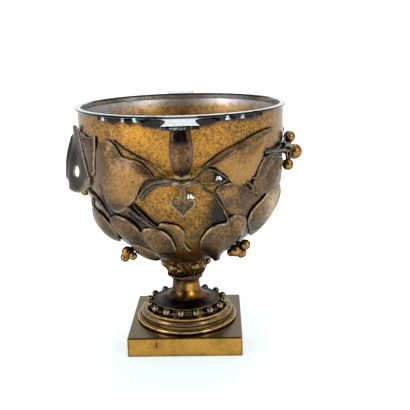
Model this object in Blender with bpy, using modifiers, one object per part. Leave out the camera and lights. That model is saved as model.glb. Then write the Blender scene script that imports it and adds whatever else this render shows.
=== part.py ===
"""Two-handled bronze bowl on a square foot, with applied ivy, modelled piece by piece.

Metres, +Z up. The origin is on the bowl's axis, on the table. The handles lie on -Y (front) and +Y
(rear). Azimuths are in degrees from the front handle, positive towards +X.
"""

import math

import bmesh
import bpy
from mathutils import Matrix, Vector

# Clearances and metal
SEAT = 0.0003  # between pieces that touch
LEAF_SEAT = 0.0005  # under a leaf's edge, on the faceted wall
ARRIS = 0.0004  # small bevels on turned and flat edges
WELD = 0.00001  # points nearer than this are one
CUTTER_OVER = 0.001  # how far a cutter runs past a face
TURN_STEPS = 36

# Bowl
WALL_RADIUS = 0.0537
WALL_THICKNESS = 0.0009
LIP_OVERHANG = 0.0013
LIP_RADIUS = WALL_RADIUS + LIP_OVERHANG
LIP_THICKNESS = 0.0013
BAND_INSET = 0.0017
BAND_RADIUS = WALL_RADIUS - BAND_INSET
BAND_THICKNESS = 0.0005
BAND_DEPTH = 0.0028
WALL_STRAIGHT = 0.0267  # the upright part of the wall, from the rim's top to the shoulder
WALL_DEPTH = 0.0585
LINER_THICKNESS = 0.0009
BOSS_RADIUS = 0.0075
BOSS_THICKNESS = 0.0029

# The ivy and the knots are drawn on a grid that follows the wall: steps of the grid in its radius
STEPS_IN_RADIUS = 53.7
IVY_GRID = WALL_RADIUS / STEPS_IN_RADIUS

# Foot
PLINTH_SIDE = 0.061
PLINTH_HEIGHT = 0.0107
PLINTH_TURN = -3.0
PLINTH_EDGE = 0.0006
RECESS_RADIUS = 0.0095
RECESS_DEPTH = 0.0056
FLANGE_RADIUS = 0.0184
FLANGE_THICKNESS = 0.0011
STEP_RADIUS = FLANGE_RADIUS + 0.0002
STEP_HEIGHT = 0.0022
BEAD_COUNT = 16
BEAD_RADIUS = 0.0017
BEAD_GAP = 0.0009
BEAD_CIRCLE = FLANGE_RADIUS + BEAD_GAP + BEAD_RADIUS
BEAD_TURN = -8.8
BEAD_WIRE = 0.0007
BED_MARGIN = 0.0009
BED_RADIUS = BEAD_CIRCLE + BEAD_RADIUS + BED_MARGIN
BED_HEIGHT = 0.0071
TORUS_LEDGE = 0.0019
TORUS_RADIUS = BED_RADIUS + TORUS_LEDGE
TORUS_HEIGHT = 0.0042
TORUS_ROUND = 0.0018
FILLET_LEDGE = 0.00225
FILLET_RADIUS = TORUS_RADIUS + FILLET_LEDGE
FILLET_HEIGHT = 0.0016
STEM_RADIUS = 0.0074
STEM_HEIGHT = 0.0131
STEM_NECK = 0.005
STEM_SWELL = 0.0004
CALYX_RADIUS = 0.0142
CALYX_FOOT_RADIUS = 0.0078
CALYX_HEIGHT = 0.01328
CALYX_STEPS = 28

# Fastening
ROD_RADIUS = 0.0024
HOLE_RADIUS = ROD_RADIUS + SEAT
ROD_HEAD_RADIUS = 0.005
ROD_HEAD_THICKNESS = 0.0014
WASHER_RADIUS = 0.0072
WASHER_THICKNESS = 0.0011
NUT_FLATS = 0.008
NUT_THICKNESS = 0.003
ROD_END = 0.0005

# Handles
PLATE_DROP = 0.0008
PLATE_THICKNESS = 0.0019
PLATE_LENGTH = 0.0247
TONGUE_TIP_WIDTH = 0.0164
TONGUE_WAIST_WIDTH = 0.0134
TONGUE_WAIST = 0.0117
SCALLOP_REACH = 0.0031
ARM_ANGLE = 44.0
GRIP_REACH = 0.022
GRIP_THICKNESS = 0.0028
GRIP_WIDTH = 0.0103
# Path of a grip from the plate to the knot: shares of the reach, of the fall and of the width
GRIP_PATH = (
    (1.0, 0.0, 0.835), (1.035, 0.32, 1.0), (0.77, 0.60, 0.913), (0.28, 0.82, 0.7),
    (0.0, 0.93, 0.544),
)
KNOT_REACH = 9.0 * IVY_GRID
KNOT_DROP = 27.7 * IVY_GRID  # below the rim's top
KNOT_WIDTH = 11.0 * IVY_GRID
LOBE_RADIUS = 0.32 * KNOT_WIDTH
LOBE_OFFSET = 0.19 * KNOT_WIDTH
LOBE_SHAPE = (1.0, 0.77, 0.74)
SPUR_THICKNESS = 0.001
SPUR_WIDTH = 0.0116
SPUR_LENGTH = 0.0148
SPUR_STALK_WIDTH = 0.0024
SPUR_STALK_LENGTH = 0.0066

# Ivy
LEAF_THICKNESS = 0.0009
TWIG_TAPER = 0.2  # share of a twig's radius lost at its far end
LEAF_CELL = 0.0065
HUB_RADIUS = 0.0012
STALK_RADIUS = 0.0009

# Heights that follow from the stack, from the table up
MOULDING_BASE = PLINTH_HEIGHT + SEAT
BED_TOP = MOULDING_BASE + BED_HEIGHT
FLANGE_BASE = BED_TOP + STEP_HEIGHT + SEAT
STEM_TOP = FLANGE_BASE + STEM_HEIGHT
CALYX_BASE = STEM_TOP + SEAT
CALYX_TO_SHOULDER = SEAT + WALL_DEPTH * math.sqrt(1.0 - (CALYX_RADIUS / WALL_RADIUS) ** 2)
SHOULDER_HEIGHT = CALYX_BASE + CALYX_HEIGHT + CALYX_TO_SHOULDER
RIM_TOP = SHOULDER_HEIGHT + WALL_STRAIGHT
KNOT_HEIGHT = RIM_TOP - KNOT_DROP
LIP_BASE = RIM_TOP - LIP_THICKNESS
SHELL_TOP = LIP_BASE - SEAT
LINER_RADIUS = WALL_RADIUS - WALL_THICKNESS - SEAT
LINER_TOP = RIM_TOP - BAND_DEPTH - SEAT
ROD_HEAD_BASE = SHOULDER_HEIGHT - WALL_DEPTH + BOSS_THICKNESS + SEAT
LINER_DEPTH = SHOULDER_HEIGHT - ROD_HEAD_BASE - ROD_HEAD_THICKNESS - SEAT
PLATE_TOP = RIM_TOP - PLATE_DROP
PLATE_BASE = PLATE_TOP - PLATE_THICKNESS
PLATE_INNER = LIP_RADIUS + SEAT


def remove_everything():
    for thing in list(bpy.data.objects):
        bpy.data.objects.remove(thing, do_unlink=True)


def make_collection(name):
    group = bpy.data.collections.new(name)
    bpy.context.scene.collection.children.link(group)
    return group


def make_material(name, colour, roughness, metallic=1.0):
    material = bpy.data.materials.new(name)
    material.use_nodes = True
    shader = material.node_tree.nodes["Principled BSDF"]
    shader.inputs["Base Color"].default_value = (*colour, 1.0)
    shader.inputs["Roughness"].default_value = roughness
    shader.inputs["Metallic"].default_value = metallic
    return material


remove_everything()
BOWL = make_collection("two_handled_bowl")
TOOLS = make_collection("cutters")
TOOLS.hide_render = True

FINISHES = {
    "gilt": ((0.50, 0.31, 0.09), 0.38),
    "gold_wall": ((0.47, 0.29, 0.08), 0.42),
    "dark_bronze": ((0.13, 0.10, 0.08), 0.35),
    "red_brown": ((0.17, 0.08, 0.05), 0.35),
    "bright_edge": ((0.62, 0.60, 0.55), 0.25),
    "leaf_brown": ((0.30, 0.21, 0.12), 0.38),
    "steel": ((0.45, 0.45, 0.46), 0.4),
}


def finish(thing, finish_name):
    """Gives a piece its own material of one of the finishes."""
    colour, roughness = FINISHES[finish_name]
    thing.data.materials.clear()
    thing.data.materials.append(make_material(thing.name, colour, roughness))


def smooth(thing, angle=40.0):
    thing.data.shade_smooth()
    thing.data.set_sharp_from_angle(angle=math.radians(angle))


def place(name, data, group=None):
    thing = bpy.data.objects.new(name, data)
    (group or BOWL).objects.link(thing)
    return thing


def as_tool(thing):
    thing.hide_render = True
    thing.display_type = "WIRE"
    return thing


def boolean(thing, tool, operation):
    cut = thing.modifiers.new(operation.lower(), "BOOLEAN")
    cut.operation = operation
    cut.solver = "EXACT"
    cut.object = tool


def cylinder_mesh(name, radius, low, high, sides=TURN_STEPS):
    mesh = bpy.data.meshes.new(name)
    shape = bmesh.new()
    where = Matrix.Translation((0.0, 0.0, (low + high) / 2))
    bmesh.ops.create_cone(
        shape, cap_ends=True, segments=sides, radius1=radius, radius2=radius,
        depth=high - low, matrix=where,
    )
    shape.to_mesh(mesh)
    shape.free()
    return mesh


def turned(name, outline, finish_name, steps=TURN_STEPS):
    """A ring or a disc turned from (radius, height) points, down the outer side and up the bore."""
    mesh = bpy.data.meshes.new(name)
    points = [(radius, 0.0, height) for radius, height in outline]
    edges = [(i, (i + 1) % len(points)) for i in range(len(points))]
    mesh.from_pydata(points, edges, [])
    thing = place(name, mesh)
    lathe = thing.modifiers.new("turn", "SCREW")
    lathe.angle = math.tau
    lathe.steps = steps
    lathe.render_steps = steps
    lathe.use_merge_vertices = True
    lathe.merge_threshold = WELD
    finish(thing, finish_name)
    return thing


def arc(centre, radius, start, end, count):
    """Points of an arc in a turned profile, from one angle to another in degrees."""
    points = []
    for i in range(count):
        angle = math.radians(start + (end - start) * i / (count - 1))
        points.append((centre[0] + radius * math.cos(angle), centre[1] + radius * math.sin(angle)))
    return points


def bowl_curve(radius, depth, inner_radius, count=15):
    """The half-ellipse under the shoulder, from the straight wall down to a bore."""
    last = math.acos(inner_radius / radius)
    angles = [last * i / (count - 1) for i in range(count)]
    return [(radius * math.cos(a), SHOULDER_HEIGHT - depth * math.sin(a)) for a in angles]


def wall_height(radius):
    """Height of the outer wall's underside at a radius."""
    return SHOULDER_HEIGHT - WALL_DEPTH * math.sqrt(1.0 - (radius / WALL_RADIUS) ** 2)


def measure_wall(count=400):
    """Arc length down the curved wall from the shoulder, with the ellipse's angle, as a table."""
    table = [(0.0, 0.0)]
    length = 0.0
    step = 0.5 * math.pi / count
    for i in range(count):
        middle = (i + 0.5) * step
        length += step * math.hypot(WALL_RADIUS * math.sin(middle), WALL_DEPTH * math.cos(middle))
        table.append((length, (i + 1) * step))
    return table


WALL_TABLE = measure_wall()


def wall_at(drop):
    """Radius, height and outward slope of the wall at a length down it from the rim's top."""
    below = drop - WALL_STRAIGHT
    if below <= 0.0:
        return WALL_RADIUS, RIM_TOP - drop, 1.0, 0.0
    step = 0.5 * math.pi / (len(WALL_TABLE) - 1)
    angle = 0.5 * math.pi
    for i in range(len(WALL_TABLE) - 1):
        if WALL_TABLE[i + 1][0] >= below:
            share = (below - WALL_TABLE[i][0]) / (WALL_TABLE[i + 1][0] - WALL_TABLE[i][0])
            angle = WALL_TABLE[i][1] + share * step
            break
    out = math.cos(angle) / WALL_RADIUS
    down = math.sin(angle) / WALL_DEPTH
    size = math.hypot(out, down)
    radius = WALL_RADIUS * math.cos(angle)
    height = SHOULDER_HEIGHT - WALL_DEPTH * math.sin(angle)
    return radius, height, out / size, -down / size


def on_wall(azimuth, drop, lift):
    """A point at an azimuth, a length down the wall from the rim's top, and a height off the wall."""
    radius, height, out, up = wall_at(drop)
    turn = math.radians(azimuth)
    reach = radius + lift * out
    return Vector((reach * math.sin(turn), -reach * math.cos(turn), height + lift * up))


def foot_pieces():
    """Plinth, moulding, beads and stem, stacked on the table."""
    mesh = bpy.data.meshes.new("plinth")
    shape = bmesh.new()
    bmesh.ops.create_cube(shape, size=1.0)
    bmesh.ops.scale(shape, vec=(PLINTH_SIDE, PLINTH_SIDE, PLINTH_HEIGHT), verts=shape.verts)
    bmesh.ops.translate(shape, vec=(0.0, 0.0, PLINTH_HEIGHT / 2), verts=shape.verts)
    shape.to_mesh(mesh)
    shape.free()
    plinth = place("plinth", mesh)
    plinth.rotation_euler.z = math.radians(PLINTH_TURN)
    edge = plinth.modifiers.new("edge", "BEVEL")
    edge.width = PLINTH_EDGE
    edge.segments = 2
    bore = cylinder_mesh("plinth_bore", HOLE_RADIUS, -CUTTER_OVER, PLINTH_HEIGHT + CUTTER_OVER, 24)
    boolean(plinth, as_tool(place("plinth_bore", bore, TOOLS)), "DIFFERENCE")
    recess = cylinder_mesh("plinth_recess", RECESS_RADIUS, -CUTTER_OVER, RECESS_DEPTH, 32)
    boolean(plinth, as_tool(place("plinth_recess", recess, TOOLS)), "DIFFERENCE")
    finish(plinth, "gilt")

    torus_middle = MOULDING_BASE + TORUS_HEIGHT
    fillet_top = MOULDING_BASE + FILLET_HEIGHT
    outline = [(STEP_RADIUS, FLANGE_BASE - SEAT), (STEP_RADIUS + ARRIS, BED_TOP)]
    outline += [(BED_RADIUS - ARRIS, BED_TOP), (BED_RADIUS, BED_TOP - ARRIS)]
    outline += [(BED_RADIUS + ARRIS / 2, torus_middle + TORUS_ROUND)]
    outline += arc((TORUS_RADIUS - TORUS_ROUND, torus_middle), TORUS_ROUND, 70.0, -62.0, 5)
    outline += [(TORUS_RADIUS - TORUS_ROUND + ARRIS, fillet_top + ARRIS)]
    outline += [(FILLET_RADIUS - 2 * ARRIS, fillet_top), (FILLET_RADIUS, fillet_top - ARRIS)]
    outline += [(FILLET_RADIUS, MOULDING_BASE + ARRIS)]
    outline += [(FILLET_RADIUS - 2 * ARRIS, MOULDING_BASE)]
    outline += [(HOLE_RADIUS, MOULDING_BASE), (HOLE_RADIUS, FLANGE_BASE - SEAT)]
    smooth(turned("base_moulding", outline, "gilt"))

    bead_height = BED_TOP + SEAT + BEAD_RADIUS
    wire = arc((BEAD_CIRCLE, bead_height), BEAD_WIRE, 0.0, -270.0, 4)
    beads = turned("bead_ring", wire, "gilt", steps=BEAD_COUNT)
    for half in (0, 1):
        mesh = bpy.data.meshes.new("beads_%d" % half)
        shape = bmesh.new()
        for i in range(half, BEAD_COUNT, 2):
            turn = math.radians(BEAD_TURN + 360.0 * i / BEAD_COUNT)
            where = (BEAD_CIRCLE * math.sin(turn), -BEAD_CIRCLE * math.cos(turn), bead_height)
            bmesh.ops.create_uvsphere(
                shape, u_segments=8, v_segments=5, radius=BEAD_RADIUS,
                matrix=Matrix.Translation(where),
            )
        shape.to_mesh(mesh)
        shape.free()
        boolean(beads, as_tool(place("beads_%d" % half, mesh, TOOLS)), "UNION")

    neck = STEM_RADIUS + STEM_SWELL
    neck_base = STEM_TOP - STEM_NECK
    sweep = FLANGE_BASE + FLANGE_THICKNESS
    outline = [(STEM_RADIUS, STEM_TOP), (STEM_RADIUS + STEM_SWELL / 4, STEM_TOP - 0.4 * STEM_NECK)]
    outline += [(neck, neck_base)]
    # The flare falls fast at first and spreads fast at the end
    for share in (0.15, 0.35, 0.6, 0.85):
        reach = neck + share**1.6 * (FLANGE_RADIUS - 3 * ARRIS - neck)
        outline.append((reach, neck_base - (neck_base - sweep) * (1.0 - (1.0 - share) ** 1.7)))
    outline += [(FLANGE_RADIUS - 2 * ARRIS, sweep), (FLANGE_RADIUS, sweep - ARRIS / 2)]
    outline += [(FLANGE_RADIUS, FLANGE_BASE + ARRIS), (FLANGE_RADIUS - ARRIS, FLANGE_BASE)]
    outline += [(HOLE_RADIUS, FLANGE_BASE), (HOLE_RADIUS, STEM_TOP)]
    smooth(turned("stem", outline, "dark_bronze"))


def calyx_piece():
    """Cup under the bowl, ringed with berries and stalk knots. Its top follows the bowl's wall."""
    spread = CALYX_RADIUS - CALYX_FOOT_RADIUS
    outline = []
    for out, up in ((1.0, 1.0), (0.81, 0.74), (0.5, 0.42), (0.25, 0.22), (0.12, 0.07), (0.0, 0.0)):
        outline.append((CALYX_FOOT_RADIUS + out * spread, CALYX_BASE + up * CALYX_HEIGHT))
    outline.append((HOLE_RADIUS, CALYX_BASE))
    # The wall is faceted, so the cup's dished top keeps a second seat below it
    for share in (0.0, 0.3, 0.55, 0.8):
        radius = HOLE_RADIUS + share * (CALYX_RADIUS - HOLE_RADIUS)
        outline.append((radius, wall_height(radius) - 2 * SEAT))
    calyx = turned("calyx", outline, "leaf_brown", steps=CALYX_STEPS)
    smooth(calyx)
    # Berries round the cup: azimuth, radius, share of the cup's radius, fall below the bowl's wall
    berries = ((-25, 2.4, 0.83, 1.0), (26, 2.5, 0.845, 0.0), (-13, 2.0, 0.746, 3.4))
    berries += ((52, 2.1, 0.83, 0.8), (-66, 2.4, 0.845, 0.0), (84, 2.5, 0.83, 0.4))
    berries += ((124, 2.1, 0.817, 1.4), (158, 2.5, 0.838, 0.0), (-164, 2.3, 0.817, 1.0))
    berries += ((-118, 2.5, 0.838, 0.2), (10, 1.6, 0.69, 5.4), (-50, 1.6, 0.69, 5.6))
    berries += ((70, 1.6, 0.69, 5.2),)
    for number, (azimuth, size, share, fall) in enumerate(berries):
        turn = math.radians(azimuth)
        radius = size * IVY_GRID
        reach = share * CALYX_RADIUS
        height_here = wall_height(reach + 0.4 * radius) - 2 * SEAT - radius - fall * IVY_GRID
        where = Vector((reach * math.sin(turn), -reach * math.cos(turn), height_here))
        boolean(calyx, ball("calyx_berry_%02d" % number, where, radius), "UNION")


def ball(name, where, radius, stretch=(1.0, 1.0, 1.0), segments=7, rings=5):
    """A round tool for a union, slightly turned so that no two facets line up."""
    mesh = bpy.data.meshes.new(name)
    shape = bmesh.new()
    bmesh.ops.create_uvsphere(shape, u_segments=segments, v_segments=rings, radius=radius)
    bmesh.ops.rotate(shape, matrix=Matrix.Rotation(0.37, 3, "X"), verts=shape.verts)
    bmesh.ops.scale(shape, vec=stretch, verts=shape.verts)
    bmesh.ops.translate(shape, vec=where, verts=shape.verts)
    shape.to_mesh(mesh)
    shape.free()
    return as_tool(place(name, mesh, TOOLS))


def bowl_pieces():
    """Shell, liner and rim band, one inside the other with a seat's clearance."""
    outer = [(WALL_RADIUS, SHELL_TOP)] + bowl_curve(WALL_RADIUS, WALL_DEPTH, HOLE_RADIUS, 12)
    inner_radius = WALL_RADIUS - WALL_THICKNESS
    inner_depth = WALL_DEPTH - WALL_THICKNESS
    boss_top = SHOULDER_HEIGHT - WALL_DEPTH + BOSS_THICKNESS
    inner = bowl_curve(inner_radius, inner_depth, BOSS_RADIUS, 10)
    outline = outer + [(HOLE_RADIUS, boss_top), (BOSS_RADIUS, boss_top)]
    outline += inner[::-1] + [(inner_radius, SHELL_TOP)]
    smooth(turned("bowl_shell", outline, "gold_wall"))

    liner_inner = LINER_RADIUS - LINER_THICKNESS
    outline = [(LINER_RADIUS, LINER_TOP)] + bowl_curve(LINER_RADIUS, LINER_DEPTH, 0.0, 10)
    outline[-1] = (0.0, SHOULDER_HEIGHT - LINER_DEPTH)
    inside = bowl_curve(liner_inner, LINER_DEPTH - LINER_THICKNESS, 0.0, 10)
    inside[-1] = (0.0, SHOULDER_HEIGHT - LINER_DEPTH + LINER_THICKNESS)
    smooth(turned_open("liner", outline + inside[::-1] + [(liner_inner, LINER_TOP)], "gold_wall"))

    skirt = BAND_RADIUS + BAND_THICKNESS
    edge = 0.75 * ARRIS
    outline = [(LIP_RADIUS - edge, RIM_TOP), (LIP_RADIUS, RIM_TOP - edge)]
    outline += [(LIP_RADIUS, LIP_BASE + edge), (LIP_RADIUS - edge, LIP_BASE)]
    outline += [(skirt, LIP_BASE), (skirt, RIM_TOP - BAND_DEPTH)]
    outline += [(BAND_RADIUS, RIM_TOP - BAND_DEPTH), (BAND_RADIUS, RIM_TOP - edge)]
    outline += [(BAND_RADIUS + edge, RIM_TOP)]
    smooth(turned("rim_band", outline, "bright_edge"))


def turned_open(name, outline, finish_name):
    """A turned cup whose profile starts and ends on its rim and touches the axis twice."""
    mesh = bpy.data.meshes.new(name)
    points = [(radius, 0.0, height) for radius, height in outline]
    middle = [i for i, (radius, _) in enumerate(outline) if radius == 0.0]
    edges = [(i, i + 1) for i in range(len(points) - 1) if i != middle[0]]
    edges.append((len(points) - 1, 0))
    mesh.from_pydata(points, edges, [])
    thing = place(name, mesh)
    lathe = thing.modifiers.new("turn", "SCREW")
    lathe.angle = math.tau
    lathe.steps = TURN_STEPS
    lathe.render_steps = TURN_STEPS
    lathe.use_merge_vertices = True
    lathe.merge_threshold = WELD
    finish(thing, finish_name)
    return thing


def fastening():
    """Tie rod with its head on the boss, and the washer and nut in the plinth's recess."""
    head = ROD_HEAD_BASE
    outline = [(0.0, head + ROD_HEAD_THICKNESS), (ROD_HEAD_RADIUS, head + ROD_HEAD_THICKNESS)]
    outline += [(ROD_HEAD_RADIUS, head), (ROD_RADIUS, head), (ROD_RADIUS, ROD_END), (0.0, ROD_END)]
    mesh = bpy.data.meshes.new("tie_rod")
    points = [(radius, 0.0, height) for radius, height in outline]
    mesh.from_pydata(points, [(i, i + 1) for i in range(len(points) - 1)], [])
    rod = place("tie_rod", mesh)
    lathe = rod.modifiers.new("turn", "SCREW")
    lathe.steps = 24
    lathe.render_steps = 24
    lathe.use_merge_vertices = True
    lathe.merge_threshold = WELD
    finish(rod, "steel")
    smooth(rod)

    top = RECESS_DEPTH - SEAT
    outline = [(WASHER_RADIUS, top), (WASHER_RADIUS, top - WASHER_THICKNESS)]
    outline += [(HOLE_RADIUS, top - WASHER_THICKNESS), (HOLE_RADIUS, top)]
    turned("washer", outline, "steel", steps=24)

    top = RECESS_DEPTH - WASHER_THICKNESS - 2 * SEAT
    corner = NUT_FLATS / 2 / math.cos(math.radians(30.0))
    nut = place("nut", cylinder_mesh("nut", corner, top - NUT_THICKNESS, top, 6))
    bore = cylinder_mesh("nut_bore", HOLE_RADIUS, -CUTTER_OVER, RECESS_DEPTH, 24)
    boolean(nut, as_tool(place("nut_bore", bore, TOOLS)), "DIFFERENCE")
    finish(nut, "steel")


def flat_outline(name, points, thickness, resolution=3):
    """A closed flat shape as a 2D curve: each point is (x, y), or (x, y, 1) where it is a corner."""
    curve = bpy.data.curves.new(name, "CURVE")
    curve.dimensions = "2D"
    curve.fill_mode = "BOTH"
    curve.extrude = thickness / 2
    curve.resolution_u = resolution
    spline = curve.splines.new("BEZIER")
    spline.bezier_points.add(len(points) - 1)
    for bend, point in zip(spline.bezier_points, points):
        bend.co = (point[0], point[1], 0.0)
        kind = "VECTOR" if len(point) > 2 else "AUTO"
        bend.handle_left_type = kind
        bend.handle_right_type = kind
    spline.use_cyclic_u = True
    return curve


def mesh_of(thing, name):
    """The evaluated mesh of a curve, with its caps welded. The curve is removed."""
    bpy.context.view_layer.update()
    graph = bpy.context.evaluated_depsgraph_get()
    mesh = bpy.data.meshes.new_from_object(thing.evaluated_get(graph))
    mesh.name = name
    shape = bmesh.new()
    shape.from_mesh(mesh)
    bmesh.ops.remove_doubles(shape, verts=shape.verts, dist=WELD)
    shape.to_mesh(mesh)
    shape.free()
    bpy.data.objects.remove(thing, do_unlink=True)
    return mesh


def plate_outline():
    """Plan of a thumb plate for the front handle: tongue, scalloped arms, and the edge on the lip."""
    tip = -(PLATE_INNER + PLATE_LENGTH)
    waist = -(PLATE_INNER + TONGUE_WAIST)
    half = TONGUE_TIP_WIDTH / 2
    right = [(half - ARRIS, tip, 1), (half, tip + ARRIS, 1), (TONGUE_WAIST_WIDTH / 2, waist)]
    right += [(TONGUE_WAIST_WIDTH / 2 + 2 * ARRIS, -(PLATE_INNER + 0.45 * TONGUE_WAIST))]
    # Scallops of the arm: azimuth, share of the greatest reach, and whether the point is a cusp
    scallops = ((10.5, 0.84, 0), (15.0, 0.45, 0), (18.0, 1.0, 1), (22.0, 0.39, 0))
    scallops += ((26.0, 0.77, 1), (30.5, 0.32, 0), (36.0, 0.58, 1), (40.0, 0.29, 0))
    for azimuth, share, cusp in scallops:
        turn = math.radians(azimuth)
        radius = PLATE_INNER + share * SCALLOP_REACH
        point = (radius * math.sin(turn), -radius * math.cos(turn))
        right.append(point + (1,) if cusp else point)
    end = math.radians(ARM_ANGLE)
    outer = PLATE_INNER + 2 * ARRIS
    right.append((outer * math.sin(end), -outer * math.cos(end), 1))
    right.append((PLATE_INNER * math.sin(end), -PLATE_INNER * math.cos(end), 1))
    inner = []
    count = 12
    for i in range(1, count):
        turn = math.radians(ARM_ANGLE * (1.0 - 2.0 * i / count))
        inner.append((PLATE_INNER * math.sin(turn), -PLATE_INNER * math.cos(turn), 1))
    left = [(-point[0], *point[1:]) for point in reversed(right)]
    return right + inner + left


def thumb_plate(side, turn):
    curve = flat_outline(side + "_thumb_plate", plate_outline(), PLATE_THICKNESS, 2)
    mesh = mesh_of(place(side + "_plate_curve", curve), side + "_thumb_plate")
    middle = Matrix.Translation((0.0, 0.0, PLATE_BASE + PLATE_THICKNESS / 2))
    mesh.transform(turn @ middle)
    finish(place(side + "_thumb_plate", mesh), "bright_edge")


def smooth_path(stations, steps):
    """Points on a smooth curve through stations of any length, with so many steps between two."""
    points = []
    last = len(stations) - 1
    for i in range(last):
        four = [stations[max(i - 1, 0)], stations[i], stations[i + 1], stations[min(i + 2, last)]]
        for step in range(steps):
            t = step / steps
            weights = (
                -0.5 * t + t**2 - 0.5 * t**3, 1.0 - 2.5 * t**2 + 1.5 * t**3,
                0.5 * t + 2.0 * t**2 - 1.5 * t**3, -0.5 * t**2 + 0.5 * t**3,
            )
            points.append([sum(w * s[k] for w, s in zip(weights, four)) for k in range(len(four[0]))])
    points.append(list(stations[last]))
    return points


def grip(side, turn):
    """Spoon-shaped strap from under the plate down to the knot, dished on its outer face."""
    low_reach = WALL_RADIUS + KNOT_REACH + LOBE_RADIUS * LOBE_SHAPE[1] + SEAT
    top_reach = PLATE_INNER + GRIP_REACH
    fall = PLATE_BASE - SEAT - KNOT_HEIGHT
    stations = []
    for out, down, width in GRIP_PATH:
        reach = low_reach + out * (top_reach - low_reach)
        stations.append((reach, KNOT_HEIGHT + (1.0 - down) * fall, width * GRIP_WIDTH))
    path = smooth_path(stations, 3)
    # Section as shares of the half width and of the thickness, anticlockwise seen from below
    section = ((-1.0, 0.1), (-0.93, 0.5), (-0.7, 0.42), (0.0, 0.1), (0.7, 0.42), (0.93, 0.5))
    section += ((1.0, 0.1), (0.65, -0.38), (0.0, -0.5), (-0.65, -0.38))
    mesh = bpy.data.meshes.new(side + "_grip")
    shape = bmesh.new()
    rings = []
    for i, (reach, height, width) in enumerate(path):
        before, after = path[max(i - 1, 0)], path[min(i + 1, len(path) - 1)]
        along = Vector((0.0, before[0] - after[0], after[1] - before[1])).normalized()
        if i == 0:
            along = Vector((0.0, 0.0, -1.0))
        out = Vector((1.0, 0.0, 0.0)).cross(along)
        ring = []
        for across, thick in section:
            where = Vector((across * width / 2, -reach, height)) + out * thick * GRIP_THICKNESS
            ring.append(shape.verts.new(where))
        rings.append(ring)
    for upper, lower in zip(rings, rings[1:]):
        for k in range(len(section)):
            after = (k + 1) % len(section)
            shape.faces.new((upper[k], upper[after], lower[after], lower[k]))
    shape.faces.new(rings[0])
    shape.faces.new(rings[-1][::-1])
    bmesh.ops.recalc_face_normals(shape, faces=shape.faces)
    bmesh.ops.transform(shape, matrix=turn, verts=shape.verts)
    shape.to_mesh(mesh)
    shape.free()
    strap = place(side + "_grip", mesh)
    finish(strap, "red_brown")
    smooth(strap, 50.0)


def knot(side, turn):
    """Two lobes bound together where the strap and the root strands meet."""
    reach = WALL_RADIUS + KNOT_REACH
    where = turn @ Vector((LOBE_OFFSET, -reach, KNOT_HEIGHT + ARRIS))
    lobe = ball(side + "_knot_lobe", where, LOBE_RADIUS, LOBE_SHAPE, 10, 6)
    mesh = bpy.data.meshes.new(side + "_knot")
    shape = bmesh.new()
    bmesh.ops.create_uvsphere(shape, u_segments=10, v_segments=6, radius=LOBE_RADIUS)
    bmesh.ops.scale(shape, vec=LOBE_SHAPE, verts=shape.verts)
    bmesh.ops.translate(shape, vec=(-LOBE_OFFSET, -reach, KNOT_HEIGHT), verts=shape.verts)
    bmesh.ops.transform(shape, matrix=turn, verts=shape.verts)
    shape.to_mesh(mesh)
    shape.free()
    thing = place(side + "_knot", mesh)
    boolean(thing, lobe, "UNION")
    finish(thing, "dark_bronze")
    smooth(thing)


def spur_leaf(side, turn):
    """Ivy leaf on a short stalk that hangs below the knot, clear of the wall."""
    half = SPUR_WIDTH / 2
    stalk = SPUR_STALK_WIDTH / 2
    leaf_top = -SPUR_STALK_LENGTH
    depth = SPUR_LENGTH - SPUR_STALK_LENGTH
    # Right side of the leaf: share of the half width, share of the leaf's depth below its top
    right = [(stalk, 0.0, 1), (stalk, leaf_top, 1)]
    right += [(out * half, leaf_top - down * depth) for out, down in (
        (0.72, -0.05), (1.0, 0.15), (0.83, 0.37), (0.38, 0.68),
    )]
    left = [(-point[0], *point[1:]) for point in reversed(right)]
    points = right + [(0.0, -SPUR_LENGTH, 1)] + left
    curve = flat_outline(side + "_spur_leaf", points, SPUR_THICKNESS, 2)
    mesh = mesh_of(place(side + "_spur_curve", curve), side + "_spur_leaf")
    reach = WALL_RADIUS + KNOT_REACH - SPUR_THICKNESS / 2
    upright = Matrix.Rotation(math.radians(90.0), 4, "X")
    below_knot = KNOT_HEIGHT - LOBE_RADIUS * LOBE_SHAPE[2] - SEAT
    mesh.transform(turn @ Matrix.Translation((0.0, -reach, below_knot)) @ upright)
    finish(place(side + "_spur_leaf", mesh), "leaf_brown")


def tube(name, points, radius, group=None):
    """A round twig on a smooth curve through world points, thinner towards its far end."""
    curve = bpy.data.curves.new(name, "CURVE")
    curve.dimensions = "3D"
    curve.resolution_u = 2
    curve.bevel_depth = radius
    curve.bevel_resolution = 1
    curve.use_fill_caps = True
    spline = curve.splines.new("BEZIER")
    spline.bezier_points.add(len(points) - 1)
    for i, (bend, point) in enumerate(zip(spline.bezier_points, points)):
        bend.co = point
        bend.handle_left_type = "AUTO"
        bend.handle_right_type = "AUTO"
        bend.radius = 1.0 - TWIG_TAPER * i / (len(points) - 1)
    mesh = mesh_of(place(name + "_curve", curve), name)
    return place(name, mesh, group)


def edge_distance(x, y, rim):
    """Shortest distance from a flat point to the edges of an outline."""
    nearest = 1.0
    for (ax, ay), (bx, by) in rim:
        length = (bx - ax) ** 2 + (by - ay) ** 2
        share = ((x - ax) * (bx - ax) + (y - ay) * (by - ay)) / length
        share = max(0.0, min(1.0, share))
        nearest = min(nearest, math.hypot(x - ax - share * (bx - ax), y - ay - share * (by - ay)))
    return nearest


def add_loop(curve, points):
    """A further closed loop on a flat outline, such as a hole."""
    spline = curve.splines.new("BEZIER")
    spline.bezier_points.add(len(points) - 1)
    for bend, (x, y) in zip(spline.bezier_points, points):
        bend.co = (x, y, 0.0)
        bend.handle_left_type = "AUTO"
        bend.handle_right_type = "AUTO"
    spline.use_cyclic_u = True


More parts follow.
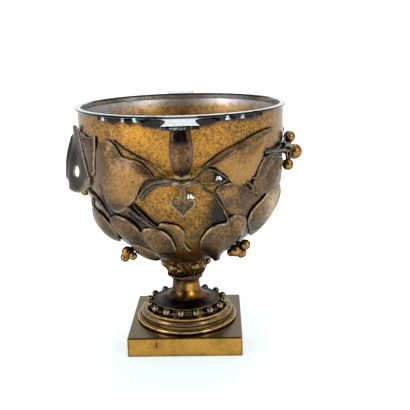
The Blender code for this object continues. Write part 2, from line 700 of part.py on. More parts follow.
def cut_in_cells(shape, size):
    """Cuts a flat shape along a square grid, so that it can bend."""
    inner = [edge for edge in shape.edges if not edge.is_boundary]
    bmesh.ops.dissolve_limit(shape, angle_limit=0.01, verts=[], edges=inner)
    for axis in (0, 1):
        reach = max(abs(v.co[axis]) for v in shape.verts)
        for i in range(-int(reach / size), int(reach / size) + 1):
            where = [0.0, 0.0, 0.0]
            normal = [0.0, 0.0, 0.0]
            where[axis] = (i + 0.02) * size
            normal[axis] = 1.0
            bmesh.ops.bisect_plane(
                shape, geom=shape.verts[:] + shape.edges[:] + shape.faces[:],
                plane_co=where, plane_no=normal, dist=0.0001,
            )
    bmesh.ops.triangulate(shape, faces=shape.faces)


def leaf(name, azimuth, drop, outline, crown, curls=(), rear=False, hole=None):
    """A cast leaf on the wall.

    The outline is a flat template in steps of the ivy's grid, laid on the wall, x to the right and
    y up, with its middle at an azimuth and a drop from the rim. The crown is how far the middle
    swells off the wall. Each curl is (x, y, height, width): the leaf is lifted there, and less
    around it. A leaf of the rear is the mirror image of one on the front.
    """
    flip = -1 if rear else 1
    drop *= IVY_GRID
    if rear:
        azimuth = 180.0 - azimuth

    def laid(point):
        return flip * point[0] * IVY_GRID, point[1] * IVY_GRID

    curve = flat_outline(name, [laid(point) + tuple(point[2:]) for point in outline], 0.0, 2)
    if hole:
        add_loop(curve, [laid(point) for point in hole])
    mesh = mesh_of(place(name + "_outline", curve), name)
    shape = bmesh.new()
    shape.from_mesh(mesh)
    rim = [tuple((v.co.x, v.co.y) for v in edge.verts) for edge in shape.edges if edge.is_boundary]
    cut_in_cells(shape, LEAF_CELL)
    width = 0.8 * min(max(abs(v.co[axis]) for v in shape.verts) for axis in (0, 1))
    for vertex in shape.verts:
        x, y = vertex.co.x, vertex.co.y
        inside = min(edge_distance(x, y, rim) / width, 1.0)
        lift = LEAF_SEAT + crown * IVY_GRID * (1.0 - (1.0 - inside) ** 2)
        for curl in curls:
            curl_x, curl_y = laid(curl)
            away = math.hypot(x - curl_x, y - curl_y) / (curl[3] * IVY_GRID)
            lift += curl[2] * IVY_GRID * math.exp(-away * away)
        vertex.co = on_wall(azimuth + math.degrees(x / wall_at(drop - y)[0]), drop - y, lift)
    bmesh.ops.recalc_face_normals(shape, faces=shape.faces)
    middle = on_wall(azimuth, drop, 0.0)
    out = on_wall(azimuth, drop, LEAF_THICKNESS) - middle
    if sum(face.normal.dot(out) * face.calc_area() for face in shape.faces) < 0.0:
        bmesh.ops.reverse_faces(shape, faces=shape.faces)
    shape.to_mesh(mesh)
    shape.free()
    thing = place(name, mesh)
    sheet = thing.modifiers.new("sheet", "SOLIDIFY")
    sheet.thickness = LEAF_THICKNESS
    sheet.offset = 1.0
    finish(thing, "leaf_brown")
    smooth(thing, 45.0)


def branch(name, prongs, finish_name="leaf_brown", rear=False):
    """Twigs joined in one piece.

    Each prong is a radius and its stations, which are (azimuth, drop from the rim, lift off the
    wall), with lengths in steps of the ivy's grid. A branch of the rear mirrors one on the front.
    """
    thing = None
    for number, (radius, stations) in enumerate(prongs):
        points = []
        for azimuth, drop, lift in stations:
            side = 180.0 - azimuth if rear else azimuth
            points.append(on_wall(side, drop * IVY_GRID, lift * IVY_GRID))
        if thing:
            prong = tube("%s_prong_%d" % (name, number), points, radius * IVY_GRID, TOOLS)
            boolean(thing, as_tool(prong), "UNION")
        else:
            thing = tube(name, points, radius * IVY_GRID)
    finish(thing, finish_name)
    smooth(thing)


def berry_cluster(name, hub, berries, rear=False):
    """Berries on short stalks from a hub that sits on the wall, joined into one body.

    The hub is (azimuth, drop), and each berry is (azimuth, drop, lift, radius), with lengths in
    steps of the ivy's grid.
    """
    root = on_wall(180.0 - hub[0] if rear else hub[0], hub[1] * IVY_GRID, LEAF_SEAT + HUB_RADIUS)
    mesh = bpy.data.meshes.new(name)
    shape = bmesh.new()
    bmesh.ops.create_icosphere(shape, subdivisions=1, radius=HUB_RADIUS)
    bmesh.ops.translate(shape, vec=root, verts=shape.verts)
    shape.to_mesh(mesh)
    shape.free()
    thing = place(name, mesh)
    for number, (azimuth, drop, lift, radius) in enumerate(berries):
        side = 180.0 - azimuth if rear else azimuth
        where = on_wall(side, drop * IVY_GRID, lift * IVY_GRID)
        stalk = bpy.data.meshes.new("%s_stalk_%d" % (name, number))
        shape = bmesh.new()
        way = where - root
        turn = way.to_track_quat("Z", "Y").to_matrix().to_4x4()
        bmesh.ops.create_cone(
            shape, cap_ends=True, segments=5, radius1=STALK_RADIUS, radius2=0.8 * STALK_RADIUS,
            depth=way.length, matrix=Matrix.Translation(root + way / 2) @ turn,
        )
        shape.to_mesh(stalk)
        shape.free()
        boolean(thing, as_tool(place(stalk.name, stalk, TOOLS)), "UNION")
        boolean(thing, ball("%s_berry_%d" % (name, number), where, radius * IVY_GRID), "UNION")
    finish(thing, "gilt")
    smooth(thing)


# Leaf templates in steps of the ivy's grid, drawn flat. A third value marks a corner.
SHIELD = [
    (-8.5, 17), (-4.5, 17.5), (-1, 13.5), (1, 11, 1), (4, 10.5), (11, 8.5), (17, 2, 1),
    (11, -2.5), (7, -8.5), (3.5, -12.5), (-1, -16), (-7, -18), (-12, -15.5), (-15, -8),
    (-17, -2), (-16, 4), (-13, 13),
]
DART = [
    (-20, -3, 1), (-11, 3), (-0.5, 7), (11.5, 10.5), (23, 11.5, 1), (16, 8),
    (12, 1), (8, -6), (3, -10.5), (-2, -11), (-7, -7.5), (-12, -2.7),
]
CURLED = [
    (-1.9, 17), (1.9, 16.6), (4.7, 9.2), (8.4, 2.3), (12.2, -4), (13.6, -8.2), (9, -13.5),
    (1.7, -16.6), (-5.2, -16), (-8.9, -13.8), (-10.3, -5.9), (-11.2, 1.3), (-9.4, 9), (-7, 14),
]
CURLED_HOLE = [(1.2, -3.2), (-0.8, -5.6), (0.2, -8.2), (2.6, -8.2), (3.8, -5)]
BLADE = [
    (-8, 9.4, 1), (-1.3, 7.8), (6.5, 9.2, 1), (6, 2.5), (4.6, -5), (4, -9.4), (1.4, -11),
    (-1, -5.5), (-4.2, 1),
]
FOLD = [
    (2.4, 7.4), (-2.7, 4.6), (-6, -0.1), (-7.5, -5.1), (-4.9, -7.7), (-0.5, -8.4), (-0.5, -5.1),
    (0.3, -0.5), (3.6, 3.5), (8.2, 6.3, 1),
]
WING = [
    (-0.8, 6.4, 1), (3.8, 2.6), (6.5, -2.8), (6.4, -6.9), (-2.3, -7.9), (-8.5, -8.6),
    (-10.7, -3.6), (-9.5, 0.4), (-5.6, 3.7),
]
SHELL = [(-11, 5, 1), (-7.5, 8), (1.5, 6.5), (7.5, 3), (11, -1.5, 1), (5, -7), (-1, -7.5)]
CLOAK = [
    (8, 14), (16, 8.5), (17, 1), (12, -6.5), (3.5, -12.5), (-5, -9.5), (-15.5, 3.5), (-9.5, 10),
    (-2.5, 14.5),
]
TWIN = [
    (-1.5, 15, 1), (1.5, 18.5), (4.5, 18.5), (10.5, 14), (11.5, 9), (10.5, 0), (6, -5), (4, -11),
    (4, -16, 1), (-4.5, -9), (-11.5, 3), (-11.5, 7.5), (-8, 13.5),
]
OVAL = [(-6.5, 8.5), (-2, 10), (4, 8), (7, 0), (4.5, -9), (-2, -10), (-6.5, -3)]
CRESCENT = [
    (-7, 9.5), (-1, 11), (4.5, 7), (5, 2), (4.5, -2), (7, -10, 1), (2.8, -8.5), (1.8, -2.5),
    (0.2, 5), (-3, 8.6),
]
ROUND = [(-9, 8), (0, 10.5), (8, 8.5), (10, 2.5), (6, -6), (-2, -9.5), (-10, -6), (-12.5, 2)]
DROP = [(-7, 6.5), (0, 8.5), (6, 4.5), (6, -8, 1), (-1, -6.5), (-6, -1.5)]
SLIP = [(-3.5, 5.5), (2, 5), (5, 0), (4, -7, 1), (-2.5, -5), (-5, 0)]


# Strands that spring from the two sides of a knot: radius, then azimuth, drop and lift
ROOT_LEFT = (
    (1.35, ((-6.3, 28.2, 8.3), (-10, 29.1, 5.6), (-15, 31.1, 3.4), (-19, 34.9, 1.9))),
    (1.1, ((-6.6, 28.0, 8.2), (-10, 24.9, 5.0), (-18, 20.5, 2.0), (-28, 16.3, 1.6), (-35, 12.5, 1.4))),
    (1.0, ((-6.8, 28.9, 8.0), (-9.5, 32.2, 4.6), (-13, 34.8, 1.9), (-17, 38.3, 1.4))),
)
ROOT_RIGHT = (
    (
        1.1,
        (
            (6.3, 28.0, 8.3), (8.6, 25.8, 5.4), (12, 24.9, 3.3), (16, 25.9, 2.5),
            (19.5, 28.1, 1.9), (22.4, 30.2, 1.7),
        ),
    ),
    (1.1, ((6.4, 28.4, 8.2), (9, 31.1, 5.4), (14, 32.2, 3.8), (19, 31.5, 2.8), (22.6, 30.3, 1.8))),
    (
        1.0,
        (
            (6.8, 28.9, 8), (9, 32.4, 5.4), (11.5, 35, 2.8), (15, 37.2, 1.5), (20.5, 44, 1.4),
            (25.5, 52, 1.4),
        ),
    ),
)


def front_ivy():
    """Leaves, twigs and berries of the side that faces the front handle."""
    leaf("leaf_front_left_shield", -32, 30.2, SHIELD, crown=2.4)
    curls = ((-9, -15, 6.4, 13), (-13, 2, 3.2, 10), (-3, 18, 1.6, 6))
    leaf("leaf_left_curled", -72, 25.0, CURLED, crown=0.7, curls=curls, hole=CURLED_HOLE)
    leaf("leaf_left_blade", -56, 20.0, BLADE, crown=1.0)
    leaf("leaf_left_round", -67, 63.5, ROUND, crown=2.4)
    leaf("leaf_front_left_drop", -38, 60.8, DROP, crown=1.8)
    leaf("leaf_front_left_oval", -17, 66.2, OVAL, crown=2.0)
    leaf("leaf_front_crescent", -6, 63.5, CRESCENT, crown=0.8)
    leaf("leaf_front_left_slip", -35, 77.5, SLIP, crown=1.2, curls=((4, -7, 1.6, 4),))
    leaf("leaf_front_right_dart", 31, 20.9, DART, crown=2.4)
    leaf("leaf_front_right_fold", 49, 31.0, FOLD, crown=1.4)
    leaf("leaf_right_wing", 61, 31.5, WING, crown=1.0)
    leaf("leaf_front_right_shell", 29.5, 41.5, SHELL, crown=1.6)
    leaf("leaf_right_cloak", 61, 55.5, CLOAK, crown=2.0)
    leaf("leaf_front_right_twin", 27, 69.5, TWIN, crown=2.4, curls=((4, -17, 4.6, 7),))

    branch("vine_front_left", ((1.0, ((-26.5, 46, 1.5), (-22.5, 49.4, 1.5), (-18.8, 53, 1.4))),))
    branch(
        "vine_left",
        (
            (
                1.3,
                ((-54, 36.2, 4.4), (-51.5, 39.5, 3), (-49, 44.3, 2), (-47, 48.3, 1.8), (-46, 51.4, 1.7)),
            ),
            (
                0.9,
                ((-52.5, 37.5, 3.6), (-58, 41.5, 3.6), (-61, 46, 4.4), (-60, 50, 3), (-58.5, 52.5, 1.5)),
            ),
        ),
    )
    branch("vine_right", ((1.0, ((46, 20.6, 1.5), (52, 20.9, 1.6), (60, 21.6, 2.0), (69, 22.8, 2.6))),))
    low_twig = ((35, 33.6, 1.5), (38, 36.0, 1.5), (41, 39, 1.5), (44.5, 43, 1.4))
    branch("vine_right_low", ((1.0, low_twig),))

    berry_cluster(
        "berries_right", (78, 24.5),
        ((80, 17.6, 3.3, 2.6), (84, 26.8, 6.2, 3.4), (75, 31.8, 3.2, 2.5)),
    )
    berry_cluster(
        "berries_front_right", (47, 73.5),
        ((50, 70.6, 4.4, 2.3), (43, 75.4, 3.9, 2.6), (49.6, 76.6, 6.2, 2.4), (42.2, 79.2, 3.6, 2.0)),
    )
    berry_cluster(
        "berries_front_left", (-50, 76.5),
        ((-51, 75.6, 4.0, 2.6), (-44, 76.2, 4.8, 1.8), (-57, 78.5, 6.4, 2.1)),
    )


def rear_ivy():
    """The side that faces the rear handle mirrors the front, with small changes."""
    leaf("leaf_rear_left_shield", -32, 30.2, SHIELD, crown=2.4, rear=True)
    leaf("leaf_rear_left_drop", -38.5, 60.8, DROP, crown=1.8, rear=True)
    leaf("leaf_rear_left_oval", -17, 66.2, OVAL, crown=2.0, rear=True)
    leaf("leaf_rear_left_round", -64, 62.5, ROUND, crown=2.2, rear=True)
    curls = ((-9, -15, 4.2, 13), (-13, 2, 2.4, 10), (-3, 18, 1.6, 6))
    leaf("leaf_rear_left_curled", -69, 21.5, CURLED, crown=0.7, curls=curls, rear=True)
    leaf("leaf_rear_right_dart", 31, 20.9, DART, crown=2.4, rear=True)
    leaf("leaf_rear_right_fold", 49, 31.0, FOLD, crown=1.4, rear=True)
    leaf("leaf_rear_right_shell", 29.5, 41.5, SHELL, crown=1.6, rear=True)
    leaf("leaf_rear_right_cloak", 65, 56.0, CLOAK, crown=2.0, rear=True)
    leaf("leaf_rear_right_twin", 27, 69.5, TWIN, crown=2.4, curls=((4, -17, 4.6, 7),), rear=True)
    strand = ((35, 33.6, 1.5), (38, 36.0, 1.5), (41, 39, 1.5), (44.5, 43, 1.4))
    branch("vine_rear_right", ((1.0, strand),), rear=True)
    branch("vine_rear_left", ((1.2, ((-52, 36, 1.7), (-49, 43, 1.6), (-46, 51, 1.6))),), rear=True)
    berry_cluster(
        "berries_rear_right", (70, 24),
        ((73, 18.2, 3.2, 2.4), (67, 26, 4.0, 2.8), (75, 28.6, 3.2, 2.3)), rear=True,
    )
    berry_cluster(
        "berries_rear_left", (-79.5, 44.5),
        ((-82, 42.8, 7.4, 3.2), (-75.5, 45.8, 4.4, 2.5), (-83, 48.2, 4.2, 2.4)), rear=True,
    )


def main():
    foot_pieces()
    calyx_piece()
    bowl_pieces()
    fastening()
    for side in ("front", "rear"):
        rear = side == "rear"
        about = Matrix.Rotation(math.pi if rear else 0.0, 4, "Z")
        thumb_plate(side, about)
        grip(side, about)
        knot(side, about)
        spur_leaf(side, about)
        branch(side + "_root_left", ROOT_LEFT, "dark_bronze", rear)
        branch(side + "_root_right", ROOT_RIGHT, "dark_bronze", rear)
    front_ivy()
    rear_ivy()


main()
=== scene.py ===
# %% [markdown]
# # A two-handled bronze bowl with applied ivy
# The bowl is turned sheet on a cast foot. Cast leaves, twigs and berries are soldered on its wall,
# and the handles are straps under scalloped thumb plates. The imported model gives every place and
# size. This file makes each piece again, with the finer form and the finish of the real one.

# %% Load the frame
import math
from functools import partial

import bmesh
import bpy
import numpy as np
from mathutils import Matrix, Vector


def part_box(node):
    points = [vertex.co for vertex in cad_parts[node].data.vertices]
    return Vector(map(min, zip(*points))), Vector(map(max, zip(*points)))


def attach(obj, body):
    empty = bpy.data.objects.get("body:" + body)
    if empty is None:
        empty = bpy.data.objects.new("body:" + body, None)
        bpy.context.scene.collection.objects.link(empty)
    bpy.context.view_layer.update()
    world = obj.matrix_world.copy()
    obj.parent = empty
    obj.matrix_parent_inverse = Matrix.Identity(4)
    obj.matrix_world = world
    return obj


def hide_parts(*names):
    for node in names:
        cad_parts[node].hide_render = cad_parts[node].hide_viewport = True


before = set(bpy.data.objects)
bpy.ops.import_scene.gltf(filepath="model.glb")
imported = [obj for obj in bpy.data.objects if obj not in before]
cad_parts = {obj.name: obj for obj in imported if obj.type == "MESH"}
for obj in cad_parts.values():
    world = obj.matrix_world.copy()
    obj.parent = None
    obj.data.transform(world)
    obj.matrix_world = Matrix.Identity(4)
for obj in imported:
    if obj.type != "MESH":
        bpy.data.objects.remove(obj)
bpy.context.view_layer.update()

# %% [markdown]
# ## Sizes
# The wall is upright above the shoulder and half an ellipse below it. The ivy is laid out on a
# paper grid: one step is 1 mm on this bowl, and the grid grows with the wall.

# %% Sizes of the bowl
MM = 0.001
WALL_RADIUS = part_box("bowl_shell")[1].x
RIM_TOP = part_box("rim_band")[1].z
WALL_STRAIGHT, WALL_DEPTH = 0.0267, 0.0585
SHOULDER = RIM_TOP - WALL_STRAIGHT
GRID = WALL_RADIUS / 53.7
print("wall radius", round(WALL_RADIUS / MM, 2), "rim top", round(RIM_TOP / MM, 2), "mm")

# %% [markdown]
# ## The camera and the studio
# The bowl stands on a pale table. The camera is in front of a handle and looks down by about
# fourteen degrees. Metal shows what surrounds it, so the room is white, with three soft lamps and
# a darker card on the camera's side, which gives the metal its contrast.

# %% Camera
YAW, PITCH, ROLL = -0.02546, 0.25293, 0.02439
CAMERA_AT = Vector((0.00216, -0.37234, 0.17111))


def put(name, data):
    """A new object in the scene."""
    made = bpy.data.objects.new(name, data)
    bpy.context.scene.collection.objects.link(made)
    return made


forward = Vector(
    (-math.sin(YAW) * math.cos(PITCH), math.cos(YAW) * math.cos(PITCH), -math.sin(PITCH))
)
level = Vector((math.cos(YAW), math.sin(YAW), 0.0))
down = forward.cross(level)
right = math.cos(ROLL) * level + math.sin(ROLL) * down
down = math.cos(ROLL) * down - math.sin(ROLL) * level
camera = put("camera", bpy.data.cameras.new("camera"))
camera.data.sensor_width = 36.0
camera.data.lens = 61.83
camera.data.clip_start = 0.01
axes = Matrix((right, -down, -forward)).transposed().to_4x4()
camera.matrix_world = Matrix.Translation(CAMERA_AT) @ axes
bpy.context.scene.camera = camera
bpy.context.scene.view_settings.view_transform = "Standard"
print("camera at", [round(v / MM) for v in CAMERA_AT], "mm")


# %% Helpers for node trees
class Out:
    """An output of a node. Arithmetic with it adds Math nodes to its tree."""

    def __init__(self, socket):
        self.socket = socket

    def __getitem__(self, label):
        return Out(self.socket.node.outputs[label])

    def math(self, operation, *values):
        return add_node(self.socket.id_data, "ShaderNodeMath", self, *values, operation=operation)

    def __add__(self, other):
        return self.math("ADD", other)

    def __sub__(self, other):
        return self.math("SUBTRACT", other)

    def __mul__(self, other):
        return self.math("MULTIPLY", other)

    def ramp(self, low, high, to_low=0.0, to_high=1.0):
        """A smooth step from one value to another."""
        return add_node(
            self.socket.id_data, "ShaderNodeMapRange", self, low, high, to_low, to_high,
            interpolation_type="SMOOTHSTEP",
        )


def add_node(tree, kind, *values, **named):
    """The first output of a new node.

    Values fill its sockets in order. A name with a capital is a socket, any other is a setting,
    and a list puts several links on one socket.
    """
    made = tree.nodes.new(kind)
    for label in filter(str.islower, named):
        setattr(made, label, named[label])
    pairs = list(zip(made.inputs, values))
    pairs += [(made.inputs[n.replace("_", " ")], v) for n, v in named.items() if not n.islower()]
    for socket, value in pairs:
        for one in value if isinstance(value, list) else [value]:
            if isinstance(one, Out):
                tree.links.new(one.socket, socket)
            elif one is not None:
                socket.default_value = one
    return Out(made.outputs[0]) if made.outputs else made


def blend(tree, share, first, second, mode="MIX"):
    """The colour from a Mix node, whose first colour socket is the seventh."""
    sockets = (share, None, None, None, None, None, first, second)
    return add_node(tree, "ShaderNodeMix", *sockets, data_type="RGBA", blend_type=mode)[2]


def add_sockets(tree, way, kind, *labels):
    for label in labels:
        tree.interface.new_socket(label, in_out=way, socket_type="NodeSocket" + kind)


def new_material(name):
    material = bpy.data.materials.new(name)
    material.use_nodes = True
    return material


# %% Table, backdrop and world
def seen_directly(tree):
    """1 where a camera, glossy or transmission ray looks, else 0."""
    path = add_node(tree, "ShaderNodeLightPath")
    seen = path["Is Camera Ray"].math("MAXIMUM", path["Is Glossy Ray"])
    return seen.math("MAXIMUM", path["Is Transmission Ray"])


def mesh_piece(name, points, edges=(), faces=()):
    mesh = bpy.data.meshes.new(name)
    mesh.from_pydata(np.asarray(points, float).tolist(), edges, faces)
    return put(name, mesh)


def stage_plate(name, corners, material):
    plate = mesh_piece(name, corners, faces=[(0, 1, 2, 3)])
    plate.data.materials.append(material)
    return plate


table_paint = new_material("table_paint")
tree = table_paint.node_tree
tree.nodes.clear()
add = partial(add_node, tree)
reach = add(
    "ShaderNodeVectorMath", add("ShaderNodeTexCoord")["Object"], operation="LENGTH"
)["Value"]
# Near the foot the table is tinted pale cyan and glows less: a painted shadow round the foot.
colour = blend(tree, reach.ramp(0.05, 0.17), (0.72, 0.87, 0.91, 1.0), (0.9, 0.9, 0.9, 1.0))
glow = seen_directly(tree) * reach.ramp(0.05, 0.20, 0.36, 1.0)
light = add("ShaderNodeEmission", Color=(1.0, 1.0, 1.0, 1.0), Strength=glow)
both = add("ShaderNodeAddShader", add("ShaderNodeBsdfDiffuse", Color=colour), light)
add("ShaderNodeOutputMaterial", Surface=both)
stage_plate("table", [(-3, -3, 0), (3, -3, 0), (3, 3, 0), (-3, 3, 0)], table_paint)

world = bpy.data.worlds.new("studio")
bpy.context.scene.world = world
world.use_nodes = True
tree = world.node_tree
colour = blend(tree, seen_directly(tree), (0.62, 0.64, 0.66, 1.0), (1.0, 1.0, 1.0, 1.0))
tree.links.new(colour.socket, tree.nodes["Background"].inputs["Color"])


# %% Lamps and the dark card
def polar(radius, turn, height=0.0):
    """A point at a distance from the axis and a turn, in radians, from the front handle."""
    return radius * math.sin(turn), -radius * math.cos(turn), height


for name, azimuth, elevation, distance, width, height, power, colour in (
    ("lamp_left", -58, 24, 0.9, 0.3, 0.5, 2.9, (1.0, 0.97, 0.92)),
    ("lamp_right", 42, 26, 1.0, 0.2, 0.5, 2.4, (1.0, 0.98, 0.95)),
    ("lamp_top", 170, 60, 1.1, 0.8, 0.6, 5.0, (0.94, 0.98, 1.0)),
):
    lamp = put(name, bpy.data.lights.new(name, "AREA"))
    lamp.data.shape = "RECTANGLE"
    lamp.data.size = width
    lamp.data.size_y = height
    lamp.data.energy = power
    lamp.data.color = colour
    up = math.radians(elevation)
    way = Vector(polar(math.cos(up), math.radians(azimuth), math.sin(up)))
    facing = (-way).to_track_quat("-Z", "Y").to_matrix().to_4x4()
    lamp.matrix_world = Matrix.Translation(Vector((0.0, 0.0, 0.07)) + way * distance) @ facing

card_paint = new_material("card_paint")
shader = card_paint.node_tree.nodes["Principled BSDF"].inputs
shader["Base Color"].default_value = (0.05, 0.05, 0.055, 1.0)
shader["Roughness"].default_value = 1.0
corners = [(-0.55, -1.1, 0.05), (0.55, -1.1, 0.05), (0.55, -1.1, 1.3), (-0.55, -1.1, 1.3)]
card = stage_plate("dark_card", corners, card_paint)
card.visible_camera = False
card.visible_diffuse = False

# %% [markdown]
# ## Patina
# All the metal is one bronze that was gilt and lacquered. Its colour goes from gold where it is
# rubbed to brown, and to nearly black in pits and hollows. One node group makes this for every
# finish: mottling and grain from noise, pits from a cell pattern, and dark hollows from ambient
# occlusion, which is painted shade over the patina of the hollows and also darkens the crevice
# between a leaf and the wall. Values painted on the points add stains and wear, and on some pieces
# painted shade, highlights and reflections.


# %% The patina group
def make_patina():
    tree = bpy.data.node_groups.new("patina", "ShaderNodeTree")
    add_sockets(tree, "INPUT", "Color", "Gold", "Brown", "Dark", "Rubbed")
    add_sockets(tree, "INPUT", "Float", "Gilding", "Stain", "Rub", "Mottle", "Grain", "Specks")
    add_sockets(tree, "INPUT", "Float", "Pits", "Hollow_shade", "Roughness")
    add_sockets(tree, "OUTPUT", "Color", "Colour")
    add_sockets(tree, "OUTPUT", "Float", "Roughness", "Height")
    add = partial(add_node, tree)
    given, place = add("NodeGroupInput"), add("ShaderNodeTexCoord")["Object"]
    noise = partial(add, "ShaderNodeTexNoise", place, None)
    broad, fine = noise(given["Mottle"], 5.0, 0.62), noise(given["Mottle"] * 4.0, 5.0, 0.75)
    grain, specks = noise(1500.0, 3.0, 0.65), noise(1500.0, 3.0, 0.8)
    mixed = fine * 1.3 + broad * 0.6
    middle = given["Gilding"] * -0.75 + 1.325
    gilt = mixed.ramp(middle - 0.42, middle + 0.42)
    colour = blend(tree, gilt, given["Brown"], given["Gold"])

    level = (grain - 0.5) * given["Grain"] + 1.0
    level *= specks.ramp(0.44, 0.62) * given["Specks"] * -1.0 + 1.0
    level *= fine.ramp(0.3, 0.62, 0.8, 1.1)
    grey = add("ShaderNodeCombineColor", level, level, level)
    colour = blend(tree, 1.0, colour, grey, "MULTIPLY")

    cells = add("ShaderNodeTexVoronoi", Vector=place, Scale=520.0)
    chance = add("ShaderNodeSeparateColor", cells["Color"])
    pit = cells.ramp(0.36, 0.1) * chance.math("GREATER_THAN", given["Pits"] * -0.3 + 1.0)
    stain = given["Stain"] * mixed.ramp(1.25, 0.65, 0.6, 1.0)
    # Ambient occlusion darkens hollows and crevices: painted shade over the patina there.
    shade = add("ShaderNodeAmbientOcclusion", Distance=0.0035, samples=8)["AO"]
    for share in (pit * 0.8, stain, shade.ramp(0.96, 0.36) * given["Hollow_shade"]):
        colour = blend(tree, share, colour, given["Dark"])
    # The rubbed colour is wear, and on some finishes a painted highlight, reflection or shade.
    rubbed = given["Rub"] * fine.ramp(0.3, 0.62, 0.35, 1.0)
    colour = blend(tree, rubbed, colour, given["Rubbed"])

    rough = (fine - 0.5) * 0.4 + given["Roughness"] + gilt * -0.05
    height = fine * 0.5 + pit * -0.8 + specks * 0.35
    add("NodeGroupOutput", Colour=colour, Roughness=rough, Height=height)
    return tree


PATINA = make_patina()
print("patina group with", len(PATINA.nodes), "nodes")


# %% A finish from the patina
def bronze(name, coat, relief, tint, *values):
    """A bronze material. Each value is a colour, a number, or the name of a painted value."""
    material = new_material(name)
    tree = material.node_tree
    add = partial(add_node, tree)

    def source(value):
        if isinstance(value, str):
            return add("ShaderNodeAttribute", attribute_name=value)["Fac"]
        if isinstance(value, tuple):
            linear = [((v / 255 + 0.055) / 1.055) ** 2.4 if v > 10 else v / 3295 for v in value]
            return (*linear, 1.0)
        return value

    patina = add("ShaderNodeGroup", *map(source, values), node_tree=PATINA)
    bump = add("ShaderNodeBump", Strength=relief, Distance=0.0004, Height=patina["Height"])
    shader = tree.nodes["Principled BSDF"].inputs
    shader["Metallic"].default_value = 1.0
    shader["Coat Weight"].default_value = coat
    shader["Coat Roughness"].default_value = 0.18
    shader["Specular Tint"].default_value = (tint, tint, tint, 1.0)
    tree.links.new(patina["Colour"].socket, shader["Base Color"])
    tree.links.new(patina["Roughness"].socket, shader["Roughness"])
    tree.links.new(bump.socket, shader["Normal"])
    return material


# %% The finishes
# Each row has the slot, coat, relief and tint, then four colours (gold, brown, dark, rubbed), then
# gilding, stain, rub, mottle, grain, specks, pits, hollow shade and roughness. NONE stands for the
# rubbed colour where a finish has no rub. Hollow shade is painted shade from ambient occlusion.
NONE = (0, 0, 0)
FINISHES = {
    "gilt_wall": ("gold_wall", 0.3, 0.55, 0.75, (196, 140, 47), (92, 65, 34), (32, 23, 17), NONE,
                  "gilt", "stain", 0, 180, 2.0, 0.8, 0.35, 0.95, 0.4),
    # The liner's rubbed colour is a pale grey painted reflection near its top and on its sides.
    "gilt_liner": ("gold_wall", 0.25, 0.12, 1.0, (212, 176, 112), (164, 124, 74), (46, 32, 22),
                   (180, 180, 186), 0.5, "stain", "worn", 60, 0.3, 0.35, 0.15, 0.1, 0.42),
    "gilt_foot": ("gilt", 0.15, 0.06, 0.75, (140, 110, 68), (98, 77, 54), (26, 19, 14),
                  (204, 168, 90), 0.45, "stain", "rim", 70, 0.15, 0.15, 0.03, 0.6, 0.24),
    # The plinth's rubbed colour, on its top, is darker and greyer: painted shade.
    "gilt_plinth": ("gilt", 0.12, 0.15, 0.75, (196, 145, 64), (182, 131, 54), (44, 36, 26),
                    (112, 99, 79), 0.62, 0, 0, 24, 0.2, 0.2, 0.05, 0.5, 0.3),
    # The stem's rubbed colour puts a painted sheen on the sides of the flange.
    "bronze_stem": ("dark_bronze", 0.15, 0.08, 0.5, (186, 130, 48), (138, 96, 42), (10, 10, 12),
                    (130, 120, 100), "gilt", "stain", "rim", 45, 0.25, 0.2, 0.05, 0.7, 0.36),
    # The leaves' rubbed colour marks rubbed edges and painted highlights.
    "leaf_bronze": ("leaf_brown", 0.18, 0.5, 0.6, (152, 113, 64), (78, 64, 52), (22, 17, 16),
                    (184, 166, 134), "gilt", "stain", "rim", 190, 2.0, 0.7, 0.2, 1.0, 0.36),
    "twig_bronze": ("dark_bronze", 0.25, 0.3, 0.75, (112, 96, 74), (48, 42, 38), (12, 10, 10),
                    NONE, 0.4, 0, 0, 260, 0.4, 0.4, 0.1, 0.9, 0.27),
    "berry_gold": ("gilt", 0.08, 0.2, 0.3, (174, 132, 74), (96, 68, 40), (14, 11, 9), NONE,
                   0.5, 0, 0, 220, 0.3, 0.3, 0.1, 0.95, 0.3),
    "bead_gold": ("gilt", 0.25, 0.1, 0.4, (156, 138, 104), (92, 76, 54), (16, 13, 12), NONE,
                  0.6, "stain", 0, 260, 0.3, 0.3, 0.1, 0.7, 0.24),
    "cord_bronze": ("gilt", 0.25, 0.1, 0.5, (158, 132, 88), (92, 74, 48), (16, 12, 9), NONE,
                    0.5, 0, 0, 260, 0.3, 0.3, 0.1, 0.6, 0.26),
    "calyx_bronze": ("dark_bronze", 0.1, 0.4, 0.4, (168, 122, 70), (64, 47, 36), (14, 10, 9), NONE,
                     0.4, 0, 0, 240, 0.6, 0.6, 0.1, 0.95, 0.3),
    "knob_bronze": ("dark_bronze", 0.25, 0.2, 0.5, (164, 124, 70), (84, 63, 42), (14, 10, 9), NONE,
                    0.5, 0, 0, 240, 0.5, 0.4, 0.1, 0.95, 0.28),
    "strap_bronze": ("red_brown", 0.25, 0.2, 0.5, (128, 92, 46), (58, 35, 27), (6, 6, 9),
                     (92, 76, 68), "gilt", "stain", "rim", 170, 0.3, 0.4, 0.1, 0.8, 0.25),
    # Gold and brown here are a pale painted reflection; the dark is a painted lilac-grey sheen, and
    # the rubbed colour is painted shade.
    "pale_sheen_metal": ("bright_edge", 0.15, 0.08, 1.0, (216, 233, 236), (204, 222, 225), (178, 175, 184),
                  (24, 20, 20), 0.6, "dull", "under", 90, 0.12, 0.1, 0.03, 0.1, 0.24),
}
METALS = {name: bronze(name, *row[1:]) for name, row in FINISHES.items()}
print(len(METALS), "finishes")

# %% [markdown]
# ## Turned pieces
# The shell, the liner, the rim, the stem and the moulding are turned round one axis. A geometry
# node tree sweeps a closed profile round a tiny circle, which leaves a clean seam, and a merge
# closes the pole where a profile meets the axis.


